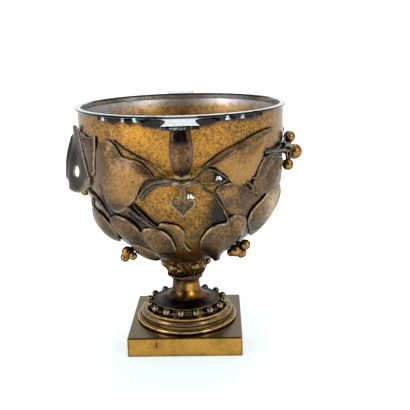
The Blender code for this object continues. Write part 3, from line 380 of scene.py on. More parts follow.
# %% A node tree that turns a profile
def modifier_tree(name, **inputs):
    """For a geometry tree with named inputs: a node maker, its input, and a function to end it."""
    tree = bpy.data.node_groups.new(name, "GeometryNodeTree")
    for label, kind in {"Geometry": "Geometry", **inputs, "Finish": "Material"}.items():
        add_sockets(tree, "INPUT", kind, label)
    add_sockets(tree, "OUTPUT", "Geometry", "Geometry")
    add = partial(add_node, tree)
    given = add("NodeGroupInput")

    def close(geometry):
        smooth = add("GeometryNodeSetShadeSmooth", geometry)
        real = add("GeometryNodeRealizeInstances", smooth)
        dressed = add("GeometryNodeSetMaterial", Geometry=real, Material=given["Finish"])
        add("NodeGroupOutput", dressed)
        return tree

    return add, given, close


def make_lathe():
    add, given, close = modifier_tree("lathe", Steps="Int")
    circle = add("GeometryNodeCurvePrimitiveCircle", Resolution=given["Steps"], Radius=MM)
    profile = add("GeometryNodeMeshToCurve", given)
    swept = add("GeometryNodeCurveToMesh", Curve=circle, Profile_Curve=profile)
    return close(add("GeometryNodeMergeByDistance", Geometry=swept, Distance=0.00002))


LATHE = make_lathe()


# %% Running a tree and finishing a piece
def plain_mesh(piece):
    """The mesh that an object's modifiers or curves make."""
    bpy.context.view_layer.update()
    graph = bpy.context.evaluated_depsgraph_get()
    return bpy.data.meshes.new_from_object(piece.evaluated_get(graph), depsgraph=graph)


def grow(piece, tree, finish, **values):
    """Runs a geometry tree on a piece and keeps the plain mesh that comes out."""
    modifier = piece.modifiers.new(tree.name, "NODES")
    modifier.node_group = tree
    values["Finish"] = METALS[finish]
    for item in tree.interface.items_tree:
        if item.in_out == "INPUT" and item.name in values:
            modifier[item.identifier] = values[item.name]
    mesh = plain_mesh(piece)
    piece.modifiers.clear()
    piece.data = mesh
    return piece


def from_shape(name, shape):
    mesh = bpy.data.meshes.new(name)
    shape.to_mesh(mesh)
    shape.free()
    return put(name, mesh)


def face_out(piece):
    """Turns a closed piece's faces outwards."""
    shape = bmesh.new()
    shape.from_mesh(piece.data)
    bmesh.ops.recalc_face_normals(shape, faces=shape.faces)
    shape.to_mesh(piece.data)
    shape.free()
    return piece


def fit(piece, finish, node, crease=40.0):
    """Gives a finished piece its finish and its body, and hides the node that it stands for."""
    if not piece.data.materials:
        piece.data.materials.append(METALS[finish])
    piece.data.shade_smooth()
    piece.data.set_sharp_from_angle(angle=math.radians(crease))
    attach(piece, "root")
    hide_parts(node)
    return piece


def loop_edges(count, first=0):
    return [(first + i, first + (i + 1) % count) for i in range(count)]


def chain_edges(count, first=0):
    return [(i, i + 1) for i in range(first, first + count - 1)]


def turned(name, outline, finish, node, steps=180):
    """A turned piece from (radius, height) points of its closed profile."""
    flat = [(radius - MM, -height, 0.0) for radius, height in outline]
    piece = mesh_piece(name, flat, loop_edges(len(flat)))
    return fit(face_out(grow(piece, LATHE, finish, Steps=steps)), finish, node)


def arc(radius, height, size, start, end, count=4):
    """Part of a circle in a profile, between two angles."""
    angles = [math.radians(start + (end - start) * i / (count - 1)) for i in range(count)]
    return [(radius + size * math.cos(a), height + size * math.sin(a)) for a in angles]


def bowl_curve(radius, depth, bore, count=40):
    """The half-ellipse under the shoulder, from the straight wall down to a bore."""
    angles = [math.acos(bore / radius) * i / (count - 1) for i in range(count)]
    return [(radius * math.cos(a), SHOULDER - depth * math.sin(a)) for a in angles]


# %% [markdown]
# ## The wall as paper
# Everything on the wall is placed by an azimuth from the front handle, a drop down the wall from
# the rim's top, and a lift off the wall. These functions work on whole arrays of points.

# %% Laying points on the wall
wall_angles = np.linspace(0.0, math.pi / 2, 600)
halfway = (wall_angles[1:] + wall_angles[:-1]) / 2
wall_steps = np.hypot(WALL_RADIUS * np.sin(halfway), WALL_DEPTH * np.cos(halfway))
wall_lengths = np.concatenate([[0.0], np.cumsum(wall_steps * np.diff(wall_angles))])


def wall_at(drop):
    """Radius, height and outward direction of the wall at drops from the rim's top."""
    below = np.asarray(drop, float) - WALL_STRAIGHT
    angle = np.interp(below, wall_lengths, wall_angles)
    out, fall = np.cos(angle) / WALL_RADIUS, np.sin(angle) / WALL_DEPTH
    size = np.hypot(out, fall)
    height = SHOULDER - WALL_DEPTH * np.sin(angle) - np.minimum(below, 0.0)
    return WALL_RADIUS * np.cos(angle), height, out / size, -fall / size


def on_wall(azimuth, drop, lift):
    """Points at azimuths in degrees, drops from the rim and lifts off the wall."""
    radius, height, out, up = wall_at(drop)
    turn = np.radians(azimuth)
    reach = radius + lift * out
    return np.stack([reach * np.sin(turn), -reach * np.cos(turn), height + lift * up], axis=-1)


def on_side(node, azimuth):
    """An azimuth as it stands, or mirrored for a node of the rear."""
    return 180.0 - azimuth if "rear" in node else azimuth


def bell(value):
    """1 at zero, falling to 0 on both sides."""
    return np.exp(-(value**2))


def spots_on_wall(places, spots):
    """A value that swells round spots of the wall: (azimuth, drop, size, amount)."""
    value = np.zeros(len(places))
    for azimuth, drop, size, amount in spots:
        away = np.linalg.norm(places - on_wall(azimuth, drop * GRID, 0.0), axis=1)
        value += amount * bell(away / (size * GRID))
    return value


# %% Painting a value on a piece
def paint(piece, **layers):
    """Stores values under their names: one for each point of a piece, or one for all."""
    stored, count = piece.data.attributes, len(piece.data.vertices)
    for name, values in layers.items():
        layer = stored.get(name) or stored.new(name, "FLOAT", "POINT")
        values = np.broadcast_to(np.asarray(values, np.float32), count)
        layer.data.foreach_set("value", np.ascontiguousarray(values))


def points_of(piece):
    """A piece's points, their distances from the axis and their turns from the front handle."""
    places = np.zeros(len(piece.data.vertices) * 3, np.float32)
    piece.data.vertices.foreach_get("co", places)
    places = places.reshape(-1, 3)
    x, y = places[:, 0], places[:, 1]
    return places, np.hypot(x, y), np.arctan2(x, -y)


# %% [markdown]
# ## Bowl
# The shell carries the ivy and the liner is the cup inside it. The rim band closes the two: its
# lip has a painted pale reflection and its skirt shows as a step inside.

# %% Shell, liner and rim
SEAT = 0.0003
LIP_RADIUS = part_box("rim_band")[1].x
BAND_RADIUS = 0.052
LIP_BASE = RIM_TOP - 0.0013
WALL_THICKNESS = 0.0009
HOLE_RADIUS, BOSS_RADIUS = 0.0027, 0.0075
liner_low, liner_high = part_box("liner")

inner_radius = WALL_RADIUS - WALL_THICKNESS
inside = bowl_curve(inner_radius, WALL_DEPTH - WALL_THICKNESS, BOSS_RADIUS)
boss_top = SHOULDER - WALL_DEPTH + 0.0029
outline = [(WALL_RADIUS, LIP_BASE - SEAT - i * 0.0009) for i in range(27)]
outline += bowl_curve(WALL_RADIUS, WALL_DEPTH, HOLE_RADIUS)
outline += [(HOLE_RADIUS, boss_top), (BOSS_RADIUS, boss_top)] + inside[::-1]
shell = turned("shell", outline + [(inner_radius, LIP_BASE - SEAT)], "gilt_wall", "bowl_shell")

cup_inner, cup_depth = liner_high.x - WALL_THICKNESS, SHOULDER - liner_low.z
outline = [(liner_high.x, liner_high.z)] + bowl_curve(liner_high.x, cup_depth, 0.0)
outline += bowl_curve(cup_inner, cup_depth - WALL_THICKNESS, 0.0)[::-1]
outline += [(cup_inner, liner_high.z - i * 0.002) for i in range(11, 4, -1)]
outline += [
    (cup_inner + 0.0008 * (1.0 - i / 12) ** 1.6, liner_high.z - i * 0.0007)
    for i in range(11, -1, -1)
]
liner = turned("cup", outline, "gilt_liner", "liner")

edge = 0.0003
outline = arc(LIP_RADIUS - edge, RIM_TOP - edge, edge, 90, 0)
outline += arc(LIP_RADIUS - edge, LIP_BASE + edge, edge, 0, -90)
outline += [(BAND_RADIUS + 0.0005, height) for height in (LIP_BASE, RIM_TOP - 0.0028)]
outline += [(BAND_RADIUS, RIM_TOP - fall) for fall in (0.0028, 0.0009, 0.0007)]
outline += arc(BAND_RADIUS + edge, RIM_TOP - edge, edge, 180, 90)
rim = turned("rim", outline, "pale_sheen_metal", "rim_band", steps=240)
print("turned the bowl:", len(rim.data.polygons), "faces in the rim")

# %% [markdown]
# Values painted on the points say where the gilding is whole and where dark stains lie, and they
# also paint light and shade: a highlight high on the wall, shadow under the thumb plates' arms and
# round some leaves, a pale reflection on the lip's top and inner side, and shade on its outer edge.


# %% Painting the bowl's wear, shade and highlights
def both_sides(spots, share=1.0):
    """Spots of the front, and the same spots mirrored to the rear."""
    return spots + tuple((180 - a, d, s, share * v) for a, d, s, v in spots)


# The first spot, high on the left and mirrored at the rear, is a painted highlight; the rest make
# the gilding brighter or duller.
GILT_AND_HIGHLIGHT_SPOTS = (
    (-22, 7, 6, 0.8), (-8, 13, 9, 0.25), (-42, 8, 9, -0.05), (52, 10, 12, 0.1), (8, 15, 9, 0.18),
    (-4, 24, 7, 0.2), (30, 12, 12, -0.12), (-23, 42, 6, 0.2), (-8, 43, 7, 0.12), (9, 46, 6, 0.12),
    (-4, 72, 8, 0.3), (6, 82, 9, 0.35), (-14, 58, 8, -0.1), (4, 60, 8, 0.12), (-30, 16, 9, -0.05),
)
# Besides stains, these spots hold painted shadow: just under the thumb plates' arms, below and
# between the leaves low on the left, beside the blade leaf and inside the eye-shaped loop.
STAIN_AND_SHADOW_SPOTS = (
    (17, 42, 4.5, 0.6), (20, 47, 6, 1.1), (22, 53, 6.5, 1.2), (20, 60, 6, 0.6), (-27, 50, 5, 0.6),
    (-22, 56, 5, 0.5), (-32, 57, 7, 0.6), (-45, 58, 9, 0.6), (-58, 55, 9, 0.5), (0, 52, 5, 0.15),
    (-26, 13, 2.4, 0.45), (-21, 16, 2.4, 0.5), (-31, 52, 4, 1.0), (-24, 47.5, 3, 1.0),
    (-20, 41, 2.5, 0.8), (58, 68, 7, 1.3), (-16, 19, 2.2, 0.5), (-12, 22, 2.2, 0.45),
    (19.5, 29, 2.6, 0.9), (43, 34, 6, 0.55), (52, 38, 8, 0.5), (48, 52, 8, 0.5), (42, 62, 7, 0.55),
    (-47, 20, 3, 1.0), (-50, 30, 4, 1.0), (13, 28.5, 3.5, 0.8), (-14, 30, 3, 0.5), (-13, 26, 3, 0.4),
    (-46, 27, 2.5, 0.5), (12, 79, 5, 0.4), (-12, 74, 6, 0.35), (14, 20, 3, 0.2), (72, 26, 7, 0.4),
    (-8, 85, 8, 0.5), (8, 88, 6, 0.4), (-36, 3.2, 1.7, 1.4), (-26, 3.2, 1.7, 1.4),
    (-18, 3.6, 1.8, 1.5), (-14, 4.0, 1.9, 1.5), (-10, 3.8, 1.9, 1.5), (10, 3.6, 1.9, 1.5),
    (15, 3.0, 1.5, 1.2), (32, 2.8, 1.5, 1.2),
)
LINER_STAINS = ((145, 7.2, 1.6, 2.4), (141, 6.2, 1.3, 1.8), (180, 14, 7, 0.25))

places, reach, turns = points_of(shell)
drops = RIM_TOP - places[:, 2]
fade = 0.6 - 8.0 * np.clip(drops - 0.016, 0, 0.05) - 0.3 * np.sin(turns) ** 2
paint(shell, gilt=fade + spots_on_wall(places, both_sides(GILT_AND_HIGHLIGHT_SPOTS, 0.8)))
# Under the thumb plates' arms a dark band in blobs is a painted shadow.
sideways = np.degrees(np.arcsin(np.abs(np.sin(turns))))
shadow_blobs = 0.45 + 0.55 * np.cos(np.radians(14.0 * sideways)) ** 2
depth = 0.0013 + 0.0012 * bell((sideways - 13.0) / 6.0)
shadow_under_arms = shadow_blobs * bell((drops - 0.0030) / depth) * (sideways < 44.0) * (sideways > 7.0)
stains_and_shade = spots_on_wall(places, both_sides(STAIN_AND_SHADOW_SPOTS)) + shadow_under_arms
paint(shell, stain=np.clip(stains_and_shade, 0, 1.7))

places, reach, turns = points_of(liner)
drops = liner_high.z - places[:, 2]
# A band at the top and the sides, much more on the left, are painted pale: a painted reflection.
sides = np.where(turns < 0, 3.4, 0.6) * np.abs(np.sin(turns)) ** 5
sides *= np.clip(1.4 - drops / 0.02, 0, 1)
paint(liner, worn=np.maximum(np.clip(1.5 - drops / 0.0032, 0, 1), sides))
paint(liner, stain=spots_on_wall(places, LINER_STAINS))

places, reach, turns = points_of(rim)
# The lip's outer edge and the top of its far side are painted dark: painted shade. Below its top,
# the band is painted lilac-grey except on the left: a painted reflection.
on_top = places[:, 2] > RIM_TOP - 0.0008
outer = (reach > LIP_RADIUS - 0.5 * edge) & (np.abs(np.sin(turns)) > math.sin(math.radians(7.8)))
behind = np.clip((np.abs(turns) - 1.8) / 0.4, 0, 1) * on_top * (reach > BAND_RADIUS - 0.0001)
paint(rim, under=2.6 * np.maximum(outer, behind))
paint(rim, dull=~on_top * np.clip(1.0 + 1.2 * np.sin(turns), 0, 0.9))

# %% [markdown]
# ## Foot
# The plinth is a plain block, so the imported solid stays and gets its finish: darker borders, a
# top painted darker and greyer as painted shade, and one small dent. The moulding, the beads and
# the stem are made again.

# %% Plinth and fastening
PLINTH_HALF = 0.0305
plinth_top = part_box("plinth")[1].z
tree = METALS["gilt_plinth"].node_tree
add = partial(add_node, tree)
coords = add("ShaderNodeTexCoord")
straight = add("ShaderNodeVectorRotate", coords["Object"], Angle=math.radians(3.0))
across = add("ShaderNodeSeparateXYZ", straight)
facing_up = add("ShaderNodeSeparateXYZ", coords["Normal"])[2]
narrow = across[0].math("ABSOLUTE").math("MINIMUM", across[1].math("ABSOLUTE"))
border = narrow.ramp(PLINTH_HALF - 0.0011, PLINTH_HALF - 0.0005)
for low, high in ((plinth_top - 0.0010, plinth_top - 0.0005), (0.0009, 0.0003)):
    border = border.math("MAXIMUM", across[2].ramp(low, high))
dent = (across[0] + 0.0150).math("ABSOLUTE").ramp(0.0007, 0.0002)
dent *= (across[2] - (plinth_top - 0.0042)).math("ABSOLUTE").ramp(0.0026, 0.0010)
dent *= across[1].ramp(-0.02, -0.029)
patina = next(n for n in tree.nodes if n.type == "GROUP")
tree.links.new((border * 0.75).math("MAXIMUM", dent * 0.9).socket, patina.inputs["Stain"])
# The top, which faces up, is painted darker and greyer: painted shade.
tree.links.new((facing_up.ramp(0.5, 0.8) * 1.4).socket, patina.inputs["Rub"])
for node in ("plinth", "tie_rod", "washer", "nut"):
    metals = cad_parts[node].data.materials
    metals.clear()
    metals.append(METALS["gilt_plinth" if node == "plinth" else "twig_bronze"])

# %% Moulding
moulding_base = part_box("base_moulding")[0].z
FLANGE_BASE, STEM_TOP = (corner.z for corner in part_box("stem"))
bed_top = moulding_base + 0.0071
torus_middle = moulding_base + 0.0042
fillet_top = moulding_base + 0.0016

outline = [(0.0186, FLANGE_BASE - SEAT), (0.0189, bed_top + 0.0001)]
outline += [(0.0189 + i * 0.0007, bed_top) for i in range(1, 7)]
outline += arc(0.0233, bed_top - 0.0003, 0.0003, 90, 0)
outline += [(0.0237, torus_middle + 0.0019)]
outline += arc(0.0237, torus_middle, 0.0018, 80, -42, 12)
outline += [(0.0252, fillet_top + 0.0001), (0.0257, fillet_top - 0.0001), (0.0260, fillet_top)]
outline += [(0.0262, fillet_top + 0.0002), (0.0264, fillet_top), (0.0268, fillet_top - 0.0002)]
outline += arc(0.02735, fillet_top - 0.0004, 0.0004, 90, 0)
outline += arc(0.02735, moulding_base + 0.0004, 0.0004, 0, -90)
outline += [(HOLE_RADIUS, moulding_base), (HOLE_RADIUS, FLANGE_BASE - SEAT)]
moulding = turned("moulding", outline, "gilt_foot", "base_moulding", steps=360)

places, reach, turns = points_of(moulding)
high_up = places[:, 2] > bed_top - 0.0004
bed_edge = (reach > 0.0232) & (reach < 0.0237) & high_up
fillet_edge = (reach > 0.0273) & (places[:, 2] > fillet_top - 0.0006)
ridge = np.abs(reach - 0.0262) < 0.00015
in_bed = (reach < 0.0232) & high_up
slant = (np.degrees(turns) - 2.4 + 9000.0 * (reach - 0.021)) % 22.5 - 11.25
strokes = 0.6 * bell(slant / 1.6) + 0.45 * bell((slant - 4.5) / 1.2)
paint(moulding, rim=0.35 * bed_edge + 1.3 * fillet_edge + 0.7 * ridge + 0.3 * in_bed)
paint(moulding, stain=in_bed * np.clip(1.2 * strokes, 0, 1))

# %% Stem
neck_base, sweep = STEM_TOP - 0.005, FLANGE_BASE + 0.0011
outline = [(0.0074, STEM_TOP), (0.0074, STEM_TOP - 0.001), (0.0075, STEM_TOP - 0.0025)]
for share in np.arange(17) / 17:
    fall = (neck_base - sweep) * (1.0 - (1.0 - share) ** 1.7)
    outline.append((0.0078 + share**1.6 * 0.0094, neck_base - fall))
outline += [(0.0176, sweep)] + arc(0.0180, sweep - 0.0004, 0.0004, 90, 0)
outline += arc(0.0180, FLANGE_BASE + 0.0004, 0.0004, 0, -90)
outline += [(HOLE_RADIUS, FLANGE_BASE), (HOLE_RADIUS, STEM_TOP)]
stem = turned("waisted_stem", outline, "bronze_stem", "stem")

places, reach, turns = points_of(stem)
turns = np.degrees(turns)
turns = np.where(np.abs(turns) > 90.0, np.copysign(180.0, turns) - turns, turns)
# Two streaks of bright gilding are painted highlights. Round them the sides are painted darker, most
# on the left, and a ring at the top is painted dark under the calyx: painted shade. On the flange's
# far sides a sheen is a painted reflection.
highlight_streaks = 0.12 * bell((turns + 24) / 7) + bell((turns - 14) / 11)
dark = np.maximum(np.clip((reach - 0.0090) / 0.0026, 0, 1), 0.8 * (places[:, 2] > STEM_TOP - 0.0012))
sides = np.where(turns < 0, 0.95, 0.6) * (1.0 - np.clip(1.6 * highlight_streaks, 0, 1))
sheen = 0.5 * bell((np.abs(turns) - 78) / 20) * bell((reach - 0.0150) / 0.0022)
paint(stem, gilt=0.35 + highlight_streaks - 50.0 * np.clip(reach - 0.0095, 0, 0.01))
paint(stem, stain=np.maximum(1.3 * dark, sides))
paint(stem, rim=np.maximum(0.6 * (np.abs(reach - 0.0183) < 0.0002), sheen))

# %% [markdown]
# Sixteen beads sit in the bed. They repeat round a circle, so a geometry tree sets one ball on
# each point of it.

# %% A node tree for a row of beads
add, given, close = modifier_tree("bead_row", Count="Int", Circle="Float", Bead="Float")
ring = add("GeometryNodeCurvePrimitiveCircle", Resolution=given["Count"], Radius=given["Circle"])
ball = add("GeometryNodeMeshUVSphere", Segments=20, Rings=12, Radius=given["Bead"])
BEAD_ROW = close(add("GeometryNodeInstanceOnPoints", Points=ring, Instance=ball))

BEAD_CIRCLE = 0.021
bead_middle = sum(corner.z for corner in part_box("bead_ring")) / 2
beads = put("bead_row", bpy.data.meshes.new("bead_row"))
grow(beads, BEAD_ROW, "bead_gold", Count=16, Circle=BEAD_CIRCLE, Bead=0.002)
beads.data.transform(
    Matrix.Translation((0, 0, bead_middle)) @ Matrix.Rotation(math.radians(-98.8), 4, "Z")
)
# Beads towards the back are painted darker: painted shade.
paint(beads, stain=0.85 * np.clip((points_of(beads)[0][:, 1] + 0.002) / 0.01, 0, 1))
fit(beads, "bead_gold", "bead_ring")
print("beads:", len(beads.data.polygons), "faces")

# %% [markdown]
# ## Leaves
# Each leaf is a cast sheet. Its outline is drawn flat on the paper grid, filled, given a narrow
# border so that its edge can round over, cut in small cells so that it can bend, and laid on the
# wall. Its middle swells, and some leaves curl away. Edges, gilding, stains, painted shade and
# painted highlights are painted on the points, as strokes on the flat outline.

# %% Leaf templates in steps of the grid, with 1 for a corner
SHIELD = [
    (-10.5, 17.6), (-5, 17.8), (-1, 13.5), (1, 11, 1), (4, 10.5), (11, 8.5), (17, 2, 1),
    (11, -2.5), (7, -8.5), (3.5, -12.5), (-1, -16), (-7, -18), (-12, -15.5), (-15, -8),
    (-17, -2), (-16.4, 5), (-14.6, 14),
]
DART = [
    (-20, -3, 1), (-11, 3), (-0.5, 7), (11.5, 10.5), (23.5, 11.5, 1), (18, 6), (14, -1), (10, -6.5),
    (6.5, -11), (2.5, -13), (-2, -13.8), (-5.8, -11.4), (-9.3, -7.7), (-14.6, -5.0),
]
CURLED = [
    (-1.9, 17), (1.9, 16.6), (4.7, 9.2), (8.4, 2.3), (12.2, -4), (13.6, -8.2), (9, -13.5),
    (1.7, -16.6), (-5.2, -16), (-8.9, -13.8), (-10.3, -5.9), (-11.2, 1.3), (-9.4, 9), (-7, 14),
]
CURLED_HOLE = [(1.2, -3.2), (-0.8, -5.6), (0.2, -8.2), (2.6, -8.2), (3.8, -5)]
BLADE = [
    (-8, 9.4, 1), (-1.3, 7.8), (6.5, 9.2, 1), (6, 2.5), (4.6, -5), (4, -9.4), (1.4, -11),
    (-1, -5.5), (-4.2, 1),
]
FOLD = [
    (2.4, 7.4), (-2.7, 4.6), (-6, -0.1), (-7.5, -5.1), (-4.9, -7.7), (-0.5, -8.4), (-0.5, -5.1),
    (0.3, -0.5), (3.6, 3.5), (8.2, 6.3, 1),
]
WING = [
    (-0.8, 6.4, 1), (3.8, 2.6), (6.5, -2.8), (6.4, -6.9), (-2.3, -7.9), (-8.5, -8.6),
    (-10.7, -3.6), (-9.5, 0.4), (-5.6, 3.7),
]
SHELL = [(-11, 5, 1), (-7.5, 8), (1.5, 6.5), (7.5, 3), (11, -1.5, 1), (5, -7), (-1, -7.5)]
CLOAK = [
    (8, 14), (16, 8.5), (17, 1), (12.5, -7), (2.5, -15.5), (-5, -10.5), (-15.5, 3.5), (-9.5, 10),
    (-2.5, 14.5),
]
TWIN = [
    (-1.5, 15, 1), (1.5, 18.5), (4.5, 18.5), (10.5, 14), (11.5, 9), (10.5, 0), (6, -5), (4, -11),
    (4.4, -14.4, 1), (1.6, -15.4, 1), (-4.5, -9), (-11.5, 3), (-11.5, 7.5), (-8, 13.5),
]
OVAL = [(-6.5, 8.5), (-2, 10), (4, 8), (7, 0), (4.5, -9), (-2, -10), (-6.5, -3)]
CRESCENT = [
    (-7, 9.5), (-1, 11), (4.5, 7), (5, 2), (4.5, -2), (7, -10, 1), (2.8, -8.5), (1.8, -2.5),
    (0.2, 5), (-3, 8.6),
]
ROUND = [(-9, 8), (0, 10.5), (8, 8.5), (10, 2.5), (6, -6), (-2, -9.5), (-10, -6), (-12.5, 2)]
DROP = [(-7, 6.5), (0, 8.5), (6, 4.5), (6, -8, 1), (-1, -6.5), (-6, -1.5)]
SLIP = [(-5, 5.5), (1, 6.5), (5.5, 1.5), (5.5, -4.5), (1, -6.5), (-5, -3)]


# %% Filling and cutting a flat outline
def closed_curve(name, loops, extrude=0.0, bevel=0.0, resolution=8):
    """A filled flat shape: an outline, then its holes."""
    curve = bpy.data.curves.new(name, "CURVE")
    curve.dimensions = "2D"
    curve.fill_mode = "BOTH"
    curve.extrude = extrude
    curve.bevel_depth = bevel
    curve.bevel_resolution = 1
    curve.offset = -bevel
    curve.resolution_u = resolution
    for points in loops:
        spline = curve.splines.new("BEZIER")
        spline.bezier_points.add(len(points) - 1)
        for bend, point in zip(spline.bezier_points, points):
            bend.co = (point[0], point[1], 0.0)
            bend.handle_left_type = bend.handle_right_type = "VECTOR" if len(point) > 2 else "AUTO"
        spline.use_cyclic_u = True
    drawn = put(name + "_curve", curve)
    shape = bmesh.new()
    shape.from_mesh(plain_mesh(drawn))
    bpy.data.objects.remove(drawn)
    bmesh.ops.remove_doubles(shape, verts=shape.verts, dist=0.00001)
    return shape


def cut_in_cells(shape, size):
    """Cuts a flat shape along a square grid."""
    for axis in (0, 1):
        reach = int(max(abs(v.co[axis]) for v in shape.verts) / size)
        for i in range(-reach, reach + 1):
            where, normal = [0.0] * 3, [0.0] * 3
            where[axis] = (i + 0.02) * size
            normal[axis] = 1.0
            bmesh.ops.bisect_plane(
                shape, geom=shape.verts[:] + shape.edges[:] + shape.faces[:],
                plane_co=where, plane_no=normal, dist=0.00002,
            )


def flat_sheet(name, loops, borders, cell):
    """A filled outline in cells: flat points, their distances from its edge, faces, edge lines."""
    shape = closed_curve(name, loops)
    inner = [line for line in shape.edges if not line.is_boundary]
    bmesh.ops.dissolve_limit(shape, angle_limit=0.01, verts=[], edges=inner)
    rim = np.array([[v.co.xy for v in e.verts] for e in shape.edges if e.is_boundary])
    for width in borders:
        bmesh.ops.inset_region(
            shape, faces=shape.faces[:], thickness=width, use_boundary=True, use_even_offset=True
        )
    cut_in_cells(shape, cell)
    bmesh.ops.triangulate(shape, faces=shape.faces)
    shape.verts.index_update()
    places = np.array([v.co.xy for v in shape.verts])
    start, way = rim[:, 0], rim[:, 1] - rim[:, 0]
    offset = places[:, None, :] - start[None]
    share = np.clip((offset * way).sum(-1) / (way * way).sum(-1), 0.0, 1.0)
    away = np.linalg.norm(offset - share[..., None] * way, axis=-1).min(1)
    faces = [[v.index for v in face.verts] for face in shape.faces]
    lines = [[v.index for v in e.verts] for e in shape.edges if e.is_boundary]
    shape.free()
    return places, away, faces, lines


def two_sided(name, low, high, faces, lines):
    """A closed piece from the points of a sheet's two sides."""
    count = len(low)
    faces = faces + [[i + count for i in face[::-1]] for face in faces]
    faces += [[a, b, b + count, a + count] for a, b in lines]
    return face_out(mesh_piece(name, np.concatenate([low, high]), faces=faces))


# %% The leaf
LEAF_SEAT, LEAF_THICKNESS, ROUNDING = 0.0005, 0.0009, 0.0003


def stroke_sum(places, strokes):
    """Values along strokes between flat points, falling to 0 beside them.

    A stroke is (x1, y1, x2, y2, width, amount).
    """
    total = np.zeros(len(places))
    for x1, y1, x2, y2, width, amount in strokes:
        start, way = np.array([x1, y1]), np.array([x2 - x1, y2 - y1])
        share = np.clip((places - start) @ way / max(way @ way, 1e-9), 0, 1)
        total += amount * bell(np.linalg.norm(places - start - share[:, None] * way, axis=1) / width)
    return total


def leaf(
    node, azimuth, drop, outline, crown, curls=(), hole=None, size=1.0, gilt=0.4, gilding=(),
    stains_and_shade=(), ridges=(), pale_highlights=(), edge=1.0,
):
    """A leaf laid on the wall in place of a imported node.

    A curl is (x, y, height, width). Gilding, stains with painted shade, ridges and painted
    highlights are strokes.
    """
    flip = -1 if "rear" in node else 1
    scale = size * GRID
    loops = [
        [(flip * p[0] * scale, p[1] * scale, *p[2:]) for p in loop]
        for loop in (outline, hole) if loop
    ]
    places, away, faces, lines = flat_sheet(node, loops, (ROUNDING,), 0.0009)
    drawn = places / scale * np.array([flip, 1.0])
    width = 0.8 * np.abs(places).max(0).min()
    lift = crown * GRID * (1.0 - (1.0 - np.minimum(away / width, 1.0)) ** 2)
    lift += GRID * stroke_sum(drawn, [(x, y, x, y, wide, high) for x, y, high, wide in curls])
    inward = np.clip(away / (1.1 * MM), 0, 1)
    for ridge in ridges:
        lift += GRID * stroke_sum(drawn, [ridge]) * (inward if ridge[-1] < 0.8 else 1.0)
    drops = drop * GRID - places[:, 1]
    turn = on_side(node, azimuth) + np.degrees(places[:, 0] / wall_at(drops)[0])
    round_off = 0.45 * LEAF_THICKNESS * np.maximum(1.0 - away / (0.9 * ROUNDING), 0.0)
    low = on_wall(turn, drops, LEAF_SEAT + lift + 0.2 * round_off)
    high = on_wall(turn, drops, LEAF_SEAT + lift + LEAF_THICKNESS - round_off)
    piece = two_sided(node + "_cast", low, high, faces, lines)
    # The border line is rubbed wear and a painted highlight where the edge catches light; pale
    # strokes are painted highlights and reflections.
    rubbed = edge * bell(away / (0.32 * MM)) + stroke_sum(drawn, pale_highlights)
    amount = gilt - 0.1 * bell(away / (1.8 * MM)) + stroke_sum(drawn, gilding)
    dark = stroke_sum(drawn, stains_and_shade)
    # The back, which faces the wall, is painted dark: painted shade.
    dark = np.concatenate([np.maximum(dark, 0.6), np.clip(dark, 0, 1)])
    paint(piece, rim=np.concatenate([0.2 * rubbed, rubbed]), gilt=np.tile(amount, 2), stain=dark)
    return fit(piece, "leaf_bronze", node, crease=50.0)


# %% Leaves of the front
SHIELD_FOLDS = ((-6, 12, 2, -12, 2.2, 0.35), (0, -3, 14, 1, 2.0, 0.3))
DART_FOLDS = (
    (-15, -1.6, -1, 5.0, 1.7, 1.1), (-1, 5.0, 12, 9.2, 1.6, 1.0), (12, 9.2, 20, 10.8, 1.2, 0.8)
)
TWIN_FOLDS = ((-1.5, 12, -4, -6, 1.4, 0.3), (6, 14, 4, -8, 1.4, 0.3))
leaf(
    "leaf_front_left_shield", -32, 30.2, SHIELD, 2.4, gilt=0.42, ridges=SHIELD_FOLDS,
    gilding=((5, -1, 9, -5, 5, 0.45), (0, -6, 4, -9, 4, 0.35), (-2, 4, 2, 0, 4, 0.25),
             (-8, -14, 2, -17, 4, -0.4), (-14, -8, -15, 4, 3, -0.15), (8, 3, 12, 0, 3, 0.35)),
    stains_and_shade=((-8, 8, -7, 3, 3.5, 0.35), (9, 8.4, 16, 3, 1.0, 0.3), (-2, 12, 2, 10, 1.5, 0.5),
            (-5, -15, 2, -14, 3, 0.2)),
    pale_highlights=((6, -9.5, 3, -13, 1.1, 0.45), (3, -13, -1, -16.2, 1.2, 0.55),
          (-1, -16.2, -7, -18, 1.3, 0.55), (-7, -18, -12, -15.5, 1.3, 0.5),
          (-12, -15.5, -15, -8, 1.0, 0.35)),
)
# The curled leaf's dark inside is painted shade.
leaf(
    "leaf_left_curled", -72, 25.0, CURLED, 0.7,
    ((-9, -15, 6.4, 13), (-13, 2, 3.2, 10), (-3, 18, 1.6, 6), (1, 4, -0.7, 5)),
    hole=CURLED_HOLE, gilt=0.0, edge=0.7,
    stains_and_shade=((-3, 9, -2, -4, 4.5, 1.5), (3, 4, 8, -6, 3.5, 0.9), (-5, -4, -4, -11, 3.5, 1.2),
            (-9, 6, -10, -8, 4.0, 0.6), (-8, -11, 6, -12, 4.0, 1.0)),
    ridges=((-9, 10, -10, -10, 1.5, 1.2), (-6, -15, 4, -15, 1.5, 0.9)),
    pale_highlights=((-10, 8, -11, -4, 1.3, 0.3), (-8, -15, 2, -17, 1.3, 0.4), (4, -16, 12, -9, 1.2, 0.3)),
)
